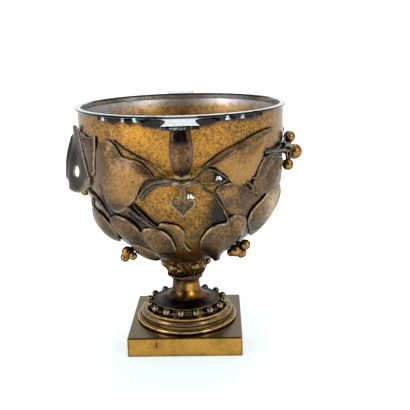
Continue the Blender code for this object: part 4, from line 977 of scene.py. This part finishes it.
# The dark stroke along the blade's right edge is painted shade.
leaf(
    "leaf_left_blade", -56, 20.0, BLADE, 1.0, gilt=0.25, ridges=((-6, 8, 1, -9, 1.2, 0.5),),
    stains_and_shade=((6.2, 8.6, 4.4, -8, 1.5, 1.0), (-1, 7.5, 3, 7, 1.2, 0.3)),
)
leaf(
    "leaf_left_round", -67, 63.5, ROUND, 2.6, size=1.15, gilt=0.35, edge=0.6,
    stains_and_shade=((4, -6, 8, 2, 3, 0.4),),
)
leaf(
    "leaf_front_left_drop", -38, 60.8, DROP, 2.2, size=1.22, gilt=0.25, edge=0.7,
    stains_and_shade=((2, -7, 5, -4, 3, 0.5), (-6, 6, 0, 8, 1.5, 0.4)), gilding=((-3, 2, -1, 4, 3, 0.25),),
)
leaf(
    "leaf_front_left_oval", -17, 66.2, OVAL, 2.0, size=1.06, gilt=0.45,
    gilding=((-2, 3, 0, -3, 3.5, 0.2),),
    stains_and_shade=((5, 2, 3, -8, 2.6, 0.6), (-4, -8, 2, -9.5, 1.6, 0.3)),
)
leaf(
    "leaf_front_crescent", -6, 63.5, CRESCENT, 0.5, gilt=0.8, edge=0.7,
    gilding=((0, 8, 3, 0, 3, 0.3),),
    stains_and_shade=((-1, 7, 1.5, -2, 1.5, 0.5), (2, -4, 5, -9, 1.5, 0.4)),
)
leaf(
    "leaf_front_left_slip", -35, 77.5, SLIP, 2.0, ((4, -7, 0.8, 4),), size=1.1, gilt=0.45,
    edge=0.5, stains_and_shade=((3, -6, 4, -4, 2, 0.6),),
)
leaf(
    "leaf_front_right_dart", 31, 20.9, DART, 2.4, gilt=0.66, ridges=DART_FOLDS,
    gilding=((-2, -6, 6, -2, 5, 0.45), (6, 0, 15, 8, 3.0, 0.3), (-10, -5, -2, -11, 4.0, 1.2),
             (2, -10, 7, -7, 3, 0.5)),
    stains_and_shade=((-17, -2.4, -1, 5.2, 1.7, 0.5), (-1, 5.2, 12, 9.2, 1.9, 0.35),
            (12, 9.2, 22, 11, 1.2, 0.3), (-1, 2, 9, 6, 2.5, 0.2)),
    pale_highlights=((22, 10, 17, 4.5, 0.8, 0.8), (17, 4.5, 13, -2, 0.8, 0.8), (13, -2, 8, -9, 0.8, 0.5)),
)
leaf(
    "leaf_front_right_fold", 49, 31.0, FOLD, 1.4, size=1.3, gilt=0.2, stains_and_shade=((3, 3, 7, 6, 2, 0.5),)
)
leaf(
    "leaf_right_wing", 61, 31.5, WING, 1.0, size=1.2, gilt=0.3, stains_and_shade=((-9, 0, -6, -7, 2, 0.7),),
    ridges=((-1, 5, -3, -7, 1.4, 0.4),),
)
leaf(
    "leaf_front_right_shell", 29.5, 41.5, SHELL, 1.6, size=1.1, gilt=0.25,
    gilding=((-7, 4, -3, 6, 2.5, 0.5), (-3, -4, 2, -6.5, 1.8, 0.6)),
    stains_and_shade=((2, 3, 7, 0, 4, 0.45), (-8, 7, -2, 7.5, 1.2, 0.6)),
)
# The cloak's broad pale stroke is a painted highlight.
leaf(
    "leaf_right_cloak", 61, 55.5, CLOAK, 2.0, size=1.06, gilt=0.3, gilding=((4, -8, 8, -6, 4, 0.3),),
    pale_highlights=((-2, 8, 5, -8, 5.0, 0.75), (4, 10, 12, 10, 3.0, 0.3)),
    ridges=((8, 10, -4, -8, 1.5, 0.6), (-12, 4, -2, 6, 1.5, 0.3)), stains_and_shade=((12, 8, 16, 2, 3, 0.3),),
)
leaf(
    "leaf_front_right_twin", 27, 69.5, TWIN, 2.4, ((4, -17, 2.6, 6),), size=1.03, gilt=0.36,
    gilding=((5, 12, 9, 8, 4, 0.2), (-6, 6, 0, 2, 3, 0.15)), ridges=TWIN_FOLDS, edge=1.1,
    stains_and_shade=((-9, 0, 2, -14, 3.2, 0.45), (3.5, -12, 4, -16, 2.4, 0.8), (1, 14, 3, 4, 0.8, 0.4)),
)

# %% [markdown]
# The photograph shows the front only. The rear carries the same kinds of leaf as a mirror image
# of the front, with small changes of place. On both sides a small leaf fills the eye-shaped loop
# beside the knot.

# %% Leaves of the rear and of the loops
leaf(
    "leaf_rear_left_shield", -32, 30.2, SHIELD, 2.4, gilt=0.44, ridges=SHIELD_FOLDS,
    gilding=((6, 2, 10, -4, 7, 0.35), (-8, -14, 2, -16, 5, -0.3)),
    stains_and_shade=((-8, 8, -7, 3, 3.5, 0.3), (9, 8.4, 16, 3, 1.4, 0.4), (-2, 12, 2, 10, 1.5, 0.5)),
)
for node, azimuth, drop, outline, crown, size, gilt, stain in (
    ("leaf_rear_left_drop", -38.5, 60.8, DROP, 1.8, 1.1, 0.35, (2, -7, 5, -4, 3, 0.5)),
    ("leaf_rear_left_oval", -17, 66.2, OVAL, 2.0, 1.05, 0.45, (5, 2, 3, -8, 2.6, 0.5)),
    ("leaf_rear_left_round", -64, 62.5, ROUND, 2.2, 1.05, 0.38, (4, -6, 8, 2, 3, 0.4)),
):
    leaf(node, azimuth, drop, outline, crown, size=size, gilt=gilt, stains_and_shade=(stain,))
leaf(
    "leaf_rear_left_curled", -69, 21.5, CURLED, 0.7,
    ((-9, -15, 4.2, 13), (-13, 2, 2.4, 10), (-3, 18, 1.6, 6)), gilt=0.3,
    stains_and_shade=((-1, 12, 3, -2, 2.6, 0.6),), ridges=((-8, 10, -9, -10, 1.6, 0.6),),
)
leaf(
    "leaf_rear_right_dart", 31, 20.9, DART, 2.4, gilt=0.5, ridges=DART_FOLDS,
    gilding=((-2, -6, 6, -2, 5, 0.25), (8, 2, 16, 8, 3.5, 0.2)),
    stains_and_shade=((-17, -2.4, -1, 5.2, 1.7, 0.8), (-1, 5.2, 12, 9.2, 1.9, 0.75),
            (12, 9.2, 22, 11, 1.2, 0.7)),
)
leaf("leaf_rear_right_fold", 49, 31.0, FOLD, 1.4, gilt=0.35, stains_and_shade=((3, 3, 7, 6, 2, 0.5),))
leaf(
    "leaf_rear_right_shell", 29.5, 41.5, SHELL, 1.6, size=1.05, gilt=0.42,
    gilding=((-6, 4, -2, 6, 2.5, 0.4),), stains_and_shade=((2, 3, 7, 0, 3, 0.45),),
)
leaf(
    "leaf_rear_right_cloak", 65, 56.0, CLOAK, 2.0, gilt=0.4, ridges=((8, 10, -4, -8, 1.5, 0.6),),
    stains_and_shade=((12, 8, 16, 2, 3, 0.3),),
)
leaf(
    "leaf_rear_right_twin", 27, 69.5, TWIN, 2.4, ((4, -17, 4.6, 7),), gilt=0.42,
    gilding=((5, 12, 9, 8, 4, 0.2),), ridges=TWIN_FOLDS,
    stains_and_shade=((-9, 0, 2, -14, 3.2, 0.4), (3.5, -12, 4, -16, 2.4, 0.8)),
)
EYE = [(-1.8, 2.2), (1.2, 1.5), (4.2, -0.8, 1), (1.0, -2.0), (-1.8, -2.2), (-0.8, 0.1)]
# The small eye leaves are painted dark inside: painted shade.
for side in ("front", "rear"):
    leaf(
        side + "_root_right", 18.6, 28.9, EYE, 0.5, gilt=0.1, edge=0.3,
        stains_and_shade=((-1, 0, 3, -0.5, 4, 1.3),),
    )
print("leaves laid on the wall")

# %% [markdown]
# ## Twigs
# A twig is a path with a girth that changes along it. The tree smooths the path, sweeps a section
# of one or more wires along it, and swells it with noise, as bark and buds do on a casting.


# %% A node tree for twigs
def make_twig():
    add, given, close = modifier_tree(
        "twig", Step="Float", Knobs="Float", Wires="Int", Twist="Float", Wire="Float"
    )
    path = add("GeometryNodeMeshToCurve", given)
    path = add("GeometryNodeCurveSplineType", Curve=path, spline_type="CATMULL_ROM")
    path = add("GeometryNodeResampleCurve", Curve=path, Length=given["Step"], mode="LENGTH")
    tilt = add("GeometryNodeSplineParameter")["Length"] * given["Twist"]
    path = add("GeometryNodeSetCurveTilt", Curve=path, Tilt=tilt)
    wire = add("GeometryNodeCurvePrimitiveCircle", Resolution=12, Radius=given["Wire"])
    offset = given["Wire"] * -1.0 + 1.0
    turn = add("GeometryNodeInputIndex").math("DIVIDE", given["Wires"]) * (2 * math.pi)
    spot = add("ShaderNodeCombineXYZ", offset * turn.math("COSINE"), offset * turn.math("SINE"))
    spots = add("GeometryNodePoints", Count=given["Wires"], Position=spot)
    section = add("GeometryNodeInstanceOnPoints", Points=spots, Instance=wire)
    section = add("GeometryNodeRealizeInstances", section)
    girth = add("GeometryNodeInputNamedAttribute", Name="girth")
    swept = add(
        "GeometryNodeCurveToMesh", Curve=path, Profile_Curve=section, Scale=girth, Fill_Caps=True
    )
    noise = add("ShaderNodeTexNoise", Scale=420.0, Detail=2.0)
    push = add(
        "ShaderNodeVectorMath", add("GeometryNodeInputNormal"),
        Scale=(noise - 0.5) * given["Knobs"], operation="SCALE",
    )
    return close(add("GeometryNodeSetPosition", Geometry=swept, Offset=push))


TWIG = make_twig()


# %% Twigs
def wires(name, node, points, edges, girths, finish, step=0.6, knobs=0.2, cord=None):
    """Wires along edges, with a girth at each point; step and knobs are in mm.

    A cord is three twisted wires: its turn in radians a metre, and a wire's share of the girth.
    """
    piece = mesh_piece(name, points, edges)
    paint(piece, girth=girths)
    twist, wire = cord or (0.0, 1.0)
    grow(
        piece, TWIG, finish, Step=step * MM, Knobs=knobs * MM, Wires=3 if cord else 1,
        Twist=twist, Wire=wire,
    )
    return fit(piece, finish, node, crease=60.0)


TWIG_SHARE, TAPER = 0.96, 0.2


def twig(node, prongs, cord=None, name=None):
    """Twigs in place of a node: each is (radius, stations of azimuth, drop and lift)."""
    points, edges, girths = [], [], []
    for radius, stations in prongs:
        edges += chain_edges(len(stations), len(points))
        for i, (azimuth, drop, lift) in enumerate(stations):
            points.append(on_wall(on_side(node, azimuth), drop * GRID, lift * GRID))
            share = 1.0 - TAPER * i / (len(stations) - 1)
            girths.append(TWIG_SHARE * radius * GRID * share)
    finish = "cord_bronze" if cord else "twig_bronze"
    return wires((name or node) + "_twig", node, points, edges, girths, finish, 0.7, 0.6, cord)


ROOT_LEFT = (
    (1.3, ((-3.2, 28.0, 8.8), (-6.6, 28.2, 8.0), (-10, 28.9, 5.8), (-15, 30.8, 3.6),
           (-19, 34.2, 2.2), (-22, 37.5, 1.4))),
    (0.55, ((-3.6, 27.4, 8.6), (-6.6, 27.4, 7.8), (-10, 25.6, 4.6), (-18, 20.9, 1.4),
            (-28, 16.3, 0.8), (-36, 12.0, 0.7))),
    (1.0, ((-3.6, 29.0, 8.6), (-6.8, 29.6, 7.6), (-10, 30.6, 5.2), (-14.5, 32.4, 3.2),
           (-18.4, 35.8, 2.0), (-21.6, 39.4, 1.2))),
)
ROOT_RIGHT = (
    (0.85, ((3.6, 28, 8.6), (6.3, 27.4, 7.8), (8.6, 25.8, 5.4), (12, 24.9, 3.3), (16, 25.9, 2.5),
            (19.5, 28.1, 1.9), (22.4, 30.2, 1.7))),
    (0.8, ((3.6, 28.6, 8.6), (6.4, 29.0, 7.8), (9, 31.1, 5.4), (14, 32.2, 3.8), (19, 31.5, 2.8),
           (22.6, 30.3, 1.8))),
)
STRAND = ((0.85, ((6.8, 28.9, 8), (9, 32.4, 5.4), (11.5, 35, 2.8), (15, 37.2, 1.5),
                  (20.5, 44, 1.4), (25.5, 52, 1.4), (26.2, 54, 1.4))),)
for side in ("front", "rear"):
    twig(side + "_root_left", ROOT_LEFT)
    twig(side + "_root_right", ROOT_RIGHT)
    twig(side + "_root_right", STRAND, (2600.0, 0.55), side + "_wound_strand")
twig("vine_front_left", (
    (1.2, ((-30, 43.4, 1.3), (-26.5, 46.4, 1.5), (-22.5, 49.9, 1.6), (-18.8, 53.4, 1.4),
           (-15.5, 56.6, 1.3))),
    (0.5, ((-27, 42.6, 0.9), (-23, 46.6, 1.3), (-18.7, 51.3, 1.3), (-14.0, 55.4, 0.9))),
    (0.45, ((-31.5, 47.5, 0.8), (-26, 51.6, 1.1), (-20.5, 54.4, 1.0))),
))
twig("vine_left", (
    (1.3, ((-54, 36.2, 4.4), (-51.5, 39.5, 3), (-49, 44.3, 2), (-47, 48.3, 1.8), (-46, 51.4, 1.7))),
    (1.1, ((-54.0, 42.0, 2.4), (-55.5, 44, 3.2), (-56, 46.5, 3.2), (-55.5, 49.5, 2.6),
           (-54.5, 52.5, 1.6))),
))
twig("vine_right", (
    (1.0, ((46, 20.6, 1.5), (52, 20.9, 1.6), (60, 21.6, 2.0), (69, 22.8, 2.6), (76, 24, 2.4))),
    (0.6, ((44, 23.4, 1.2), (52, 22.6, 1.6), (61, 20.2, 1.8), (70, 19.0, 1.6), (76, 16.5, 1.4))),
    (0.55, ((50, 24.6, 1.2), (57, 24.4, 1.6), (64, 25.8, 1.8), (69, 29.5, 1.6))),
    (1.5, ((66, 20.0, 2.2), (73, 20.8, 3.4), (79, 23.5, 4.6), (82, 26.0, 5.0))),
    (1.2, ((77, 15.4, 2.0), (78.5, 20.0, 3.4), (78.5, 26.0, 3.8), (75, 31.0, 3.0))),
))
LOW = ((1.0, ((33, 31.6, 1.3), (35, 33.6, 1.5), (38, 36.0, 1.5), (41, 39, 1.5), (44.5, 43, 1.4))),)
FINE = ((0.7, ((36, 31.2, 1.4), (41, 32.6, 1.8), (45.5, 35.8, 1.8), (48.5, 40.2, 1.5))),)
VINE_CORD = (2400.0, 0.56)
twig("vine_right_low", LOW, VINE_CORD)
twig("vine_right_low", FINE, VINE_CORD, "vine_right_fine")
twig("vine_rear_right", LOW, VINE_CORD)
twig("vine_rear_left", ((1.2, ((-52, 36, 1.7), (-49, 43, 1.6), (-46, 51, 1.6))),))

# %% [markdown]
# ## Berries
# A cluster is a hub with berries on short stalks. The tree sets a ball on each point, sized by a
# value stored there, and sweeps the stalks along the edges between them.


# %% A node tree for berries
def make_berries():
    add, given, close = modifier_tree("berries", Stalk="Float")
    size = add("GeometryNodeInputNamedAttribute", Name="size")
    ball = add("GeometryNodeMeshIcoSphere", Radius=1.0, Subdivisions=4)
    balls = add("GeometryNodeInstanceOnPoints", Points=given, Instance=ball, Scale=size)
    path = add("GeometryNodeMeshToCurve", given)
    section = add("GeometryNodeCurvePrimitiveCircle", Resolution=10, Radius=given["Stalk"])
    stalks = add("GeometryNodeCurveToMesh", Curve=path, Profile_Curve=section, Fill_Caps=True)
    return close(add("GeometryNodeJoinGeometry", [balls, stalks]))


BERRIES = make_berries()


# %% The clusters
def balls(name, node, points, sizes, finish, edges=(), stalk=0.0005):
    """Balls on points, with stalks along edges."""
    piece = mesh_piece(name, points, edges)
    paint(piece, size=sizes)
    return fit(grow(piece, BERRIES, finish, Stalk=stalk), finish, node)


HUB_LIFT, BERRY_SHARE, STALK_GIRTH = 1.7, 1.22, 0.85


def berries(node, hub, core, *clusters):
    """Berries in place of a node: each is (azimuth, drop, lift, radius)."""
    places = np.array([(*hub, HUB_LIFT, core), *clusters])
    points = on_wall(on_side(node, places[:, 0]), places[:, 1] * GRID, places[:, 2] * GRID)
    sizes = places[:, 3] * GRID * np.where(np.arange(len(places)) > 0, BERRY_SHARE, 1.0)
    edges = [(0, i) for i in range(1, len(points))]
    stalk = STALK_GIRTH * GRID
    return balls(node + "_cluster", node, points, sizes, "berry_gold", edges, stalk)


berries(
    "berries_right", (78, 24.5), 2.2,
    (80, 17.9, 3.3, 2.6), (84, 26.4, 6.0, 3.4), (75, 31.4, 3.2, 2.5),
)
berries(
    "berries_front_right", (47, 73.5), 1.5,
    (48.6, 71.4, 4.2, 2.3), (43, 75.4, 3.9, 2.6), (48.6, 76.2, 5.6, 2.4), (42.6, 78.6, 3.0, 1.8),
)
berries(
    "berries_front_left", (-50, 76.5), 1.5,
    (-51, 75.6, 4.0, 2.6), (-44, 76.2, 4.8, 1.8), (-57, 78.5, 6.4, 2.1),
)
berries(
    "berries_rear_right", (70, 24), 1.5,
    (73, 18.2, 3.2, 2.4), (67, 26, 4.0, 2.8), (75, 28.6, 3.2, 2.3),
)
berries(
    "berries_rear_left", (-79.5, 44.5), 1.5,
    (-82, 43.4, 5.4, 2.8), (-75.5, 45.8, 4.4, 2.5), (-84, 46.6, 3.6, 2.1),
)

# %% [markdown]
# Small pale drops put painted glints in the corner of the eye-shaped loop, behind the small hanging
# leaf and in the notch of the big leaf. Each is three balls that run together.

# %% Drops that make glints
points, sizes = [], []
for azimuth, fall, lift, size in (
    (17.8, 29.2, 1.6, 1.2), (3.6, 37.2, 0.8, 1.3), (-35.3, 21.4, 0.9, 0.8)
):
    for turn in (azimuth, 180.0 - azimuth):
        for along, down, share in ((0.0, 0.0, 1.0), (0.9, 0.7, 0.8), (-0.5, 0.9, 0.6)):
            low = (fall + down * size) * GRID
            points.append(on_wall(turn + along * size, low, lift * share * GRID))
            sizes.append(size * share * GRID)
paint(balls("glint_drops", "bowl_shell", points, sizes, "pale_sheen_metal"), under=0.0, dull=0.0)

# %% [markdown]
# ## Calyx
# The cup under the bowl is crowded with berries and cut stalks. The cup itself is turned, the
# berries come from the berry tree, and two twisted cords of metal run round its foot.

# %% Cup and berries of the calyx
CALYX_RADIUS, CALYX_FOOT, CALYX_HIGH = 0.0142, 0.0078, 0.01328
calyx_base = STEM_TOP + SEAT


def wall_height(radius):
    return SHOULDER - WALL_DEPTH * math.sqrt(1.0 - (radius / WALL_RADIUS) ** 2)


outline = [
    (CALYX_FOOT + share * (CALYX_RADIUS - CALYX_FOOT), calyx_base + up * CALYX_HIGH)
    for share, up in (
        (1, 0.98), (0.9, 0.86), (0.8, 0.74), (0.5, 0.42), (0.25, 0.22), (0.12, 0.07), (0, 0)
    )
]
outline.append((HOLE_RADIUS, calyx_base))
for share in (0.0, 0.3, 0.55, 0.8, 0.95):
    radius = HOLE_RADIUS + share * (CALYX_RADIUS - HOLE_RADIUS)
    outline.append((radius, wall_height(radius) - 2 * SEAT))
turned("calyx_cup", outline, "calyx_bronze", "calyx", steps=96)

points, sizes = [], []
for azimuth, girth, share, fall in (
    (-32, 2.5, 0.83, 1.0), (24, 2.7, 0.845, 0.0), (52, 2.1, 0.83, 1.8), (-66, 2.4, 0.845, 0.0),
    (84, 2.5, 0.83, 0.4), (124, 2.1, 0.817, 1.4), (158, 2.5, 0.838, 0.0), (-164, 2.3, 0.817, 1.0),
    (-118, 2.5, 0.838, 0.2), (-92, 2.2, 0.80, 2.0), (-16, 1.7, 0.80, 3.0),
):
    reach = share * CALYX_RADIUS
    height = wall_height(reach + 0.4 * girth * MM) - 2 * SEAT - (girth + fall) * MM
    points.append(polar(reach, math.radians(azimuth), height))
    sizes.append(1.04 * girth * MM)
balls("calyx_knobs", "calyx", points, sizes, "knob_bronze")

# %% Cords and stalks of the calyx, and the wire under the beads
points, edges, girths = [], [], []
for reach, height, lean, girth in ((8.9, 1.3, 0.6, 0.7), (10.1, 3.2, -1.1, 0.6)):
    edges += loop_edges(48, len(points))
    for i in range(48):
        turn = 2 * math.pi * i / 48
        sway = lean * math.cos(turn + 0.9) + 0.2 * math.sin(5 * turn)
        points.append(polar((reach + 0.35 * sway) * MM, turn, calyx_base + (height + sway) * MM))
        girths.append(girth * MM)
wires("calyx_cord", "calyx", points, edges, girths, "cord_bronze", cord=(2200.0, 0.56))

points, edges, girths = [], [], []
for start, sway, thick in (
    (-52, 30, 1.5), (-20, 22, 1.3), (-4, 24, 1.1), (14, -16, 1.2), (46, -22, 1.6), (62, 20, 1.3),
    (100, 26, 1.4), (138, -24, 1.3), (150, 26, 1.2), (-170, 30, 1.5), (-128, 22, 1.3),
    (-96, -26, 1.2), (-76, 24, 1.3),
):
    edges += chain_edges(9, len(points))
    for share in np.arange(9) / 8:
        out = 0.0132 - 0.0042 * share + 0.0005 * math.sin(math.pi * share)
        up = wall_height(0.0132) - 0.0014 - share * 0.0080
        points.append(polar(out, math.radians(start + sway * share), up))
        girths.append(thick * MM * (1.0 - 0.4 * share))
wires("calyx_stalks", "calyx", points, edges, girths, "calyx_bronze", knobs=0.9)

points = [polar(BEAD_CIRCLE, math.radians(5 * i), bead_middle - 0.0007) for i in range(72)]
wires("bead_wire", "bead_ring", points, loop_edges(72), 0.0005, "twig_bronze")

# %% [markdown]
# ## Handles
# Each handle is a scalloped plate for the thumb, a dished strap below it, a knot where the strap
# meets the roots of the ivy, and a small leaf that hangs from the knot.

# %% Thumb plates
PLATE_INNER = LIP_RADIUS + SEAT
plate_low, plate_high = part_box("front_thumb_plate")
ARM_ANGLE = math.radians(44.0)
SCALLOPS = (
    (10.5, 2.6, 0), (15.0, 1.4, 0), (18.0, 3.1, 1), (22.0, 1.2, 0), (26.0, 2.4, 1), (30.5, 1.0, 0),
    (36.0, 1.8, 1), (40.0, 0.9, 0),
)


def plate_outline():
    """Plan of the front plate: tongue, scalloped arms, and the edge that fits the lip."""
    tip = plate_low.y
    half = [(0.0078, tip, 1), (0.0082, tip + 0.0004, 1), (0.0067, -(PLATE_INNER + 0.0117))]
    half += [(0.0075, -(PLATE_INNER + 0.0053))]
    for azimuth, reach, cusp in SCALLOPS:
        x, y, _ = polar(PLATE_INNER + reach * MM, math.radians(azimuth))
        half.append((x, y, 1) if cusp else (x, y))
    half += [(*polar(PLATE_INNER + more, ARM_ANGLE)[:2], 1) for more in (0.0008, 0.0)]
    inner = [(*polar(PLATE_INNER, ARM_ANGLE * (1 - i / 18))[:2], 1) for i in range(1, 36)]
    return half + inner + [(-point[0], *point[1:]) for point in reversed(half)]


def thumb_plate(side, about):
    bevel = 0.0002
    shape = closed_curve(side, [plate_outline()], (plate_high.z - plate_low.z) / 2 - bevel, bevel, 6)
    piece = face_out(from_shape(side + "_plate", shape))
    piece.data.transform(about @ Matrix.Translation((0, 0, (plate_low.z + plate_high.z) / 2)))
    places = points_of(piece)[0]
    beside = np.degrees(np.arctan(places[:, 0] / places[:, 1])) * math.cos(about.to_euler().z)
    # The arms are painted dark as painted shade, except spots at the scallops' cusps left lighter as
    # painted highlights; on the tongue only the edge below the top is painted dark.
    lit_cusps = sum(bell((beside - spot) / 1.8) for spot in (-30.7, -22.4, 21.5, 27.5, 40.0))
    shaded_edge = places[:, 2] < plate_high.z - 0.0001
    shaded_arms = 2.6 * (1.0 - 0.8 * lit_cusps)
    paint(piece, under=np.where(np.abs(beside) > 8.3, shaded_arms, 1.6 * shaded_edge), dull=0.0)
    return fit(piece, "pale_sheen_metal", side + "_thumb_plate", crease=30.0)


# %% [markdown]
# The strap is one smooth sweep: its stations give reach, height and width, and its section is
# dished on the outer face with a rounded border on both sides.

# %% Straps
KNOT_REACH, KNOT_HEIGHT = WALL_RADIUS + 9.0 * GRID, RIM_TOP - 27.7 * GRID
KNOT_DEEP, KNOT_LOW = 2.7104 * GRID, 2.6048 * GRID  # reach out of and below the knot's middle
STRAP_THICKNESS = 0.0028
SECTION = [(-1.0, 0.1), (-0.93, 0.5), (-0.7, 0.42), (0.0, 0.1), (0.7, 0.42), (0.93, 0.5)]
SECTION += [(1.0, 0.1), (0.65, -0.38), (0.0, -0.5), (-0.65, -0.38)]


def smooth_path(stations, steps, closed=False):
    """Points on a smooth curve through stations, with so many steps between two."""
    line = np.array(stations, float)
    count = len(line)
    made = []
    for i in range(count if closed else count - 1):
        picks = np.arange(i - 1, i + 3)
        a, b, c, d = line[picks % count if closed else np.clip(picks, 0, count - 1)]
        for t in np.arange(steps) / steps:
            bend = (2 * a - 5 * b + 4 * c - d) * t**2 + (3 * b - a - 3 * c + d) * t**3
            made.append(0.5 * (2 * b + (c - a) * t + bend))
    return np.array(made if closed else made + [line[-1]])


def strap(side, about):
    """Spoon-shaped strap from under the plate down to the knot."""
    low_reach, top_reach = KNOT_REACH + KNOT_DEEP + SEAT, PLATE_INNER + 0.022
    fall = plate_low.z - SEAT - KNOT_HEIGHT
    path = smooth_path([
        (low_reach + out * (top_reach - low_reach), KNOT_HEIGHT + (1.0 - drop) * fall, width * MM)
        for out, drop, width in (
            (1.0, 0.0, 8.6), (1.035, 0.32, 10.3), (0.77, 0.60, 9.4), (0.28, 0.80, 7.2),
            (0.02, 0.91, 5.4),
        )
    ], 10)
    section = smooth_path(SECTION, 5, closed=True)
    section[:, 0] = np.clip(section[:, 0], -1.0, 1.0)
    points, faces, count = [], [], len(section)
    for i, (reach, height, width) in enumerate(path):
        before, after = path[max(i - 1, 0)], path[min(i + 1, len(path) - 1)]
        along = Vector((0.0, before[0] - after[0], after[1] - before[1])).normalized()
        out = Vector((1.0, 0.0, 0.0)).cross(along if i else Vector((0.0, 0.0, -1.0)))
        points += [
            about @ (Vector((across * width / 2, -reach, height)) + out * thick * STRAP_THICKNESS)
            for across, thick in section
        ]
        if i:
            faces += [(a - count, b - count, b, a) for a, b in loop_edges(count, i * count)]
    faces += [range(count), range(len(points) - 1, len(points) - count - 1, -1)]
    piece = face_out(mesh_piece(side + "_strap", points, faces=faces))
    places = points_of(piece)[0] @ np.array(about.to_3x3())
    across, height = places[:, 0], places[:, 2]
    share = (height - height.min()) / (height.max() - height.min())
    outward = -places[:, 1] - np.interp(height, path[::-1, 1], path[::-1, 0])
    # The top, under the thumb plate, is painted dark: painted shadow. The bottom is painted darker
    # too.
    stain = np.clip((share - 0.62) / 0.2, 0, 1) * bell((across / 0.0036) ** 2)
    paint(piece, stain=stain + 0.4 * bell(share / 0.1))
    # A bright streak of gilding left of the middle is a painted highlight.
    highlight_streak = bell((across + 0.002) / 0.0009) * bell((share - 0.45) / 0.25)
    paint(piece, gilt=0.28 + 0.6 * highlight_streak)
    paint(piece, rim=0.55 * (outward > 0.0006) * (np.abs(across) > 0.0035))
    return fit(piece, "strap_bronze", side + "_grip", crease=50.0)


# %% Knots and spur leaves
def knot(side, about):
    """Two rounded lobes, one on the other, and a thin wire round the lower one."""
    shape = bmesh.new()
    for forward, lift, size in (
        (0.0032, 0.0026, (0.0044, 0.0040, 0.0021)), (0.0022, -0.0008, (0.0053, 0.0040, 0.0024)),
    ):
        where = Matrix.Translation((0.0, -KNOT_REACH - forward, KNOT_HEIGHT + lift))
        where = about @ where @ Matrix.Diagonal((*size, 1.0))
        bmesh.ops.create_uvsphere(shape, u_segments=32, v_segments=20, radius=1.0, matrix=where)
    piece = from_shape(side + "_lobes", shape)
    paint(piece, gilt=0.15, stain=0.0, rim=0.3)
    fit(piece, "leaf_bronze", side + "_knot")
    path = []
    for turn in np.radians(np.arange(-84.0, 85.0, 14.0)):
        y = -KNOT_REACH - 0.0022 - 0.0039 * math.cos(turn)
        z = KNOT_HEIGHT + 0.0002 - 0.0020 * math.cos(turn)
        path.append(about @ Vector((0.0052 * math.sin(turn), y, z)))
    edges = chain_edges(len(path))
    wires(side + "_binding", side + "_knot", path, edges, 0.00035, "cord_bronze", step=0.5)


def spur_leaf(side, about):
    """Small flat leaf with a raised border, hanging from the knot."""
    half = [(0.0012, 0.0, 1), (0.0012, -0.0066, 1), (0.004176, -0.00619), (0.0058, -0.00783)]
    half += [(0.004814, -0.009634), (0.002204, -0.012176)]
    outline = half + [(0.0, -0.0148, 1)] + [(-p[0], *p[1:]) for p in reversed(half)]
    places, away, faces, lines = flat_sheet(side, [outline], (0.00035, 0.0004), 0.0012)
    face = 0.0005 - 0.00035 * np.clip((away - 0.0003) / 0.0004, 0, 1)
    face -= 0.00025 * np.clip(1.0 - away / 0.0003, 0, 1)
    x, z = places.T
    front, behind = (np.stack([x, y, z], -1) for y in (-face, np.full(len(x), 0.0005)))
    piece = two_sided(side + "_spur", front, behind, faces, lines)
    below_knot = (0.0, 0.0005 - KNOT_REACH, KNOT_HEIGHT - KNOT_LOW - SEAT)
    piece.data.transform(about @ Matrix.Translation(below_knot))
    # The pale border is rubbed wear and a painted highlight.
    rubbed = bell(np.maximum(away - 0.0001, 0) / 0.0003) * np.where(z > -0.006, 0.3, 0.7)
    paint(piece, rim=np.tile(rubbed, 2), gilt=0.2, stain=0.0)
    return fit(piece, "leaf_bronze", side + "_spur_leaf", crease=50.0)


for side, angle in (("front", 0.0), ("rear", math.pi)):
    about = Matrix.Rotation(angle, 4, "Z")
    thumb_plate(side, about)
    strap(side, about)
    knot(side, about)
    spur_leaf(side, about)
print("handles made")
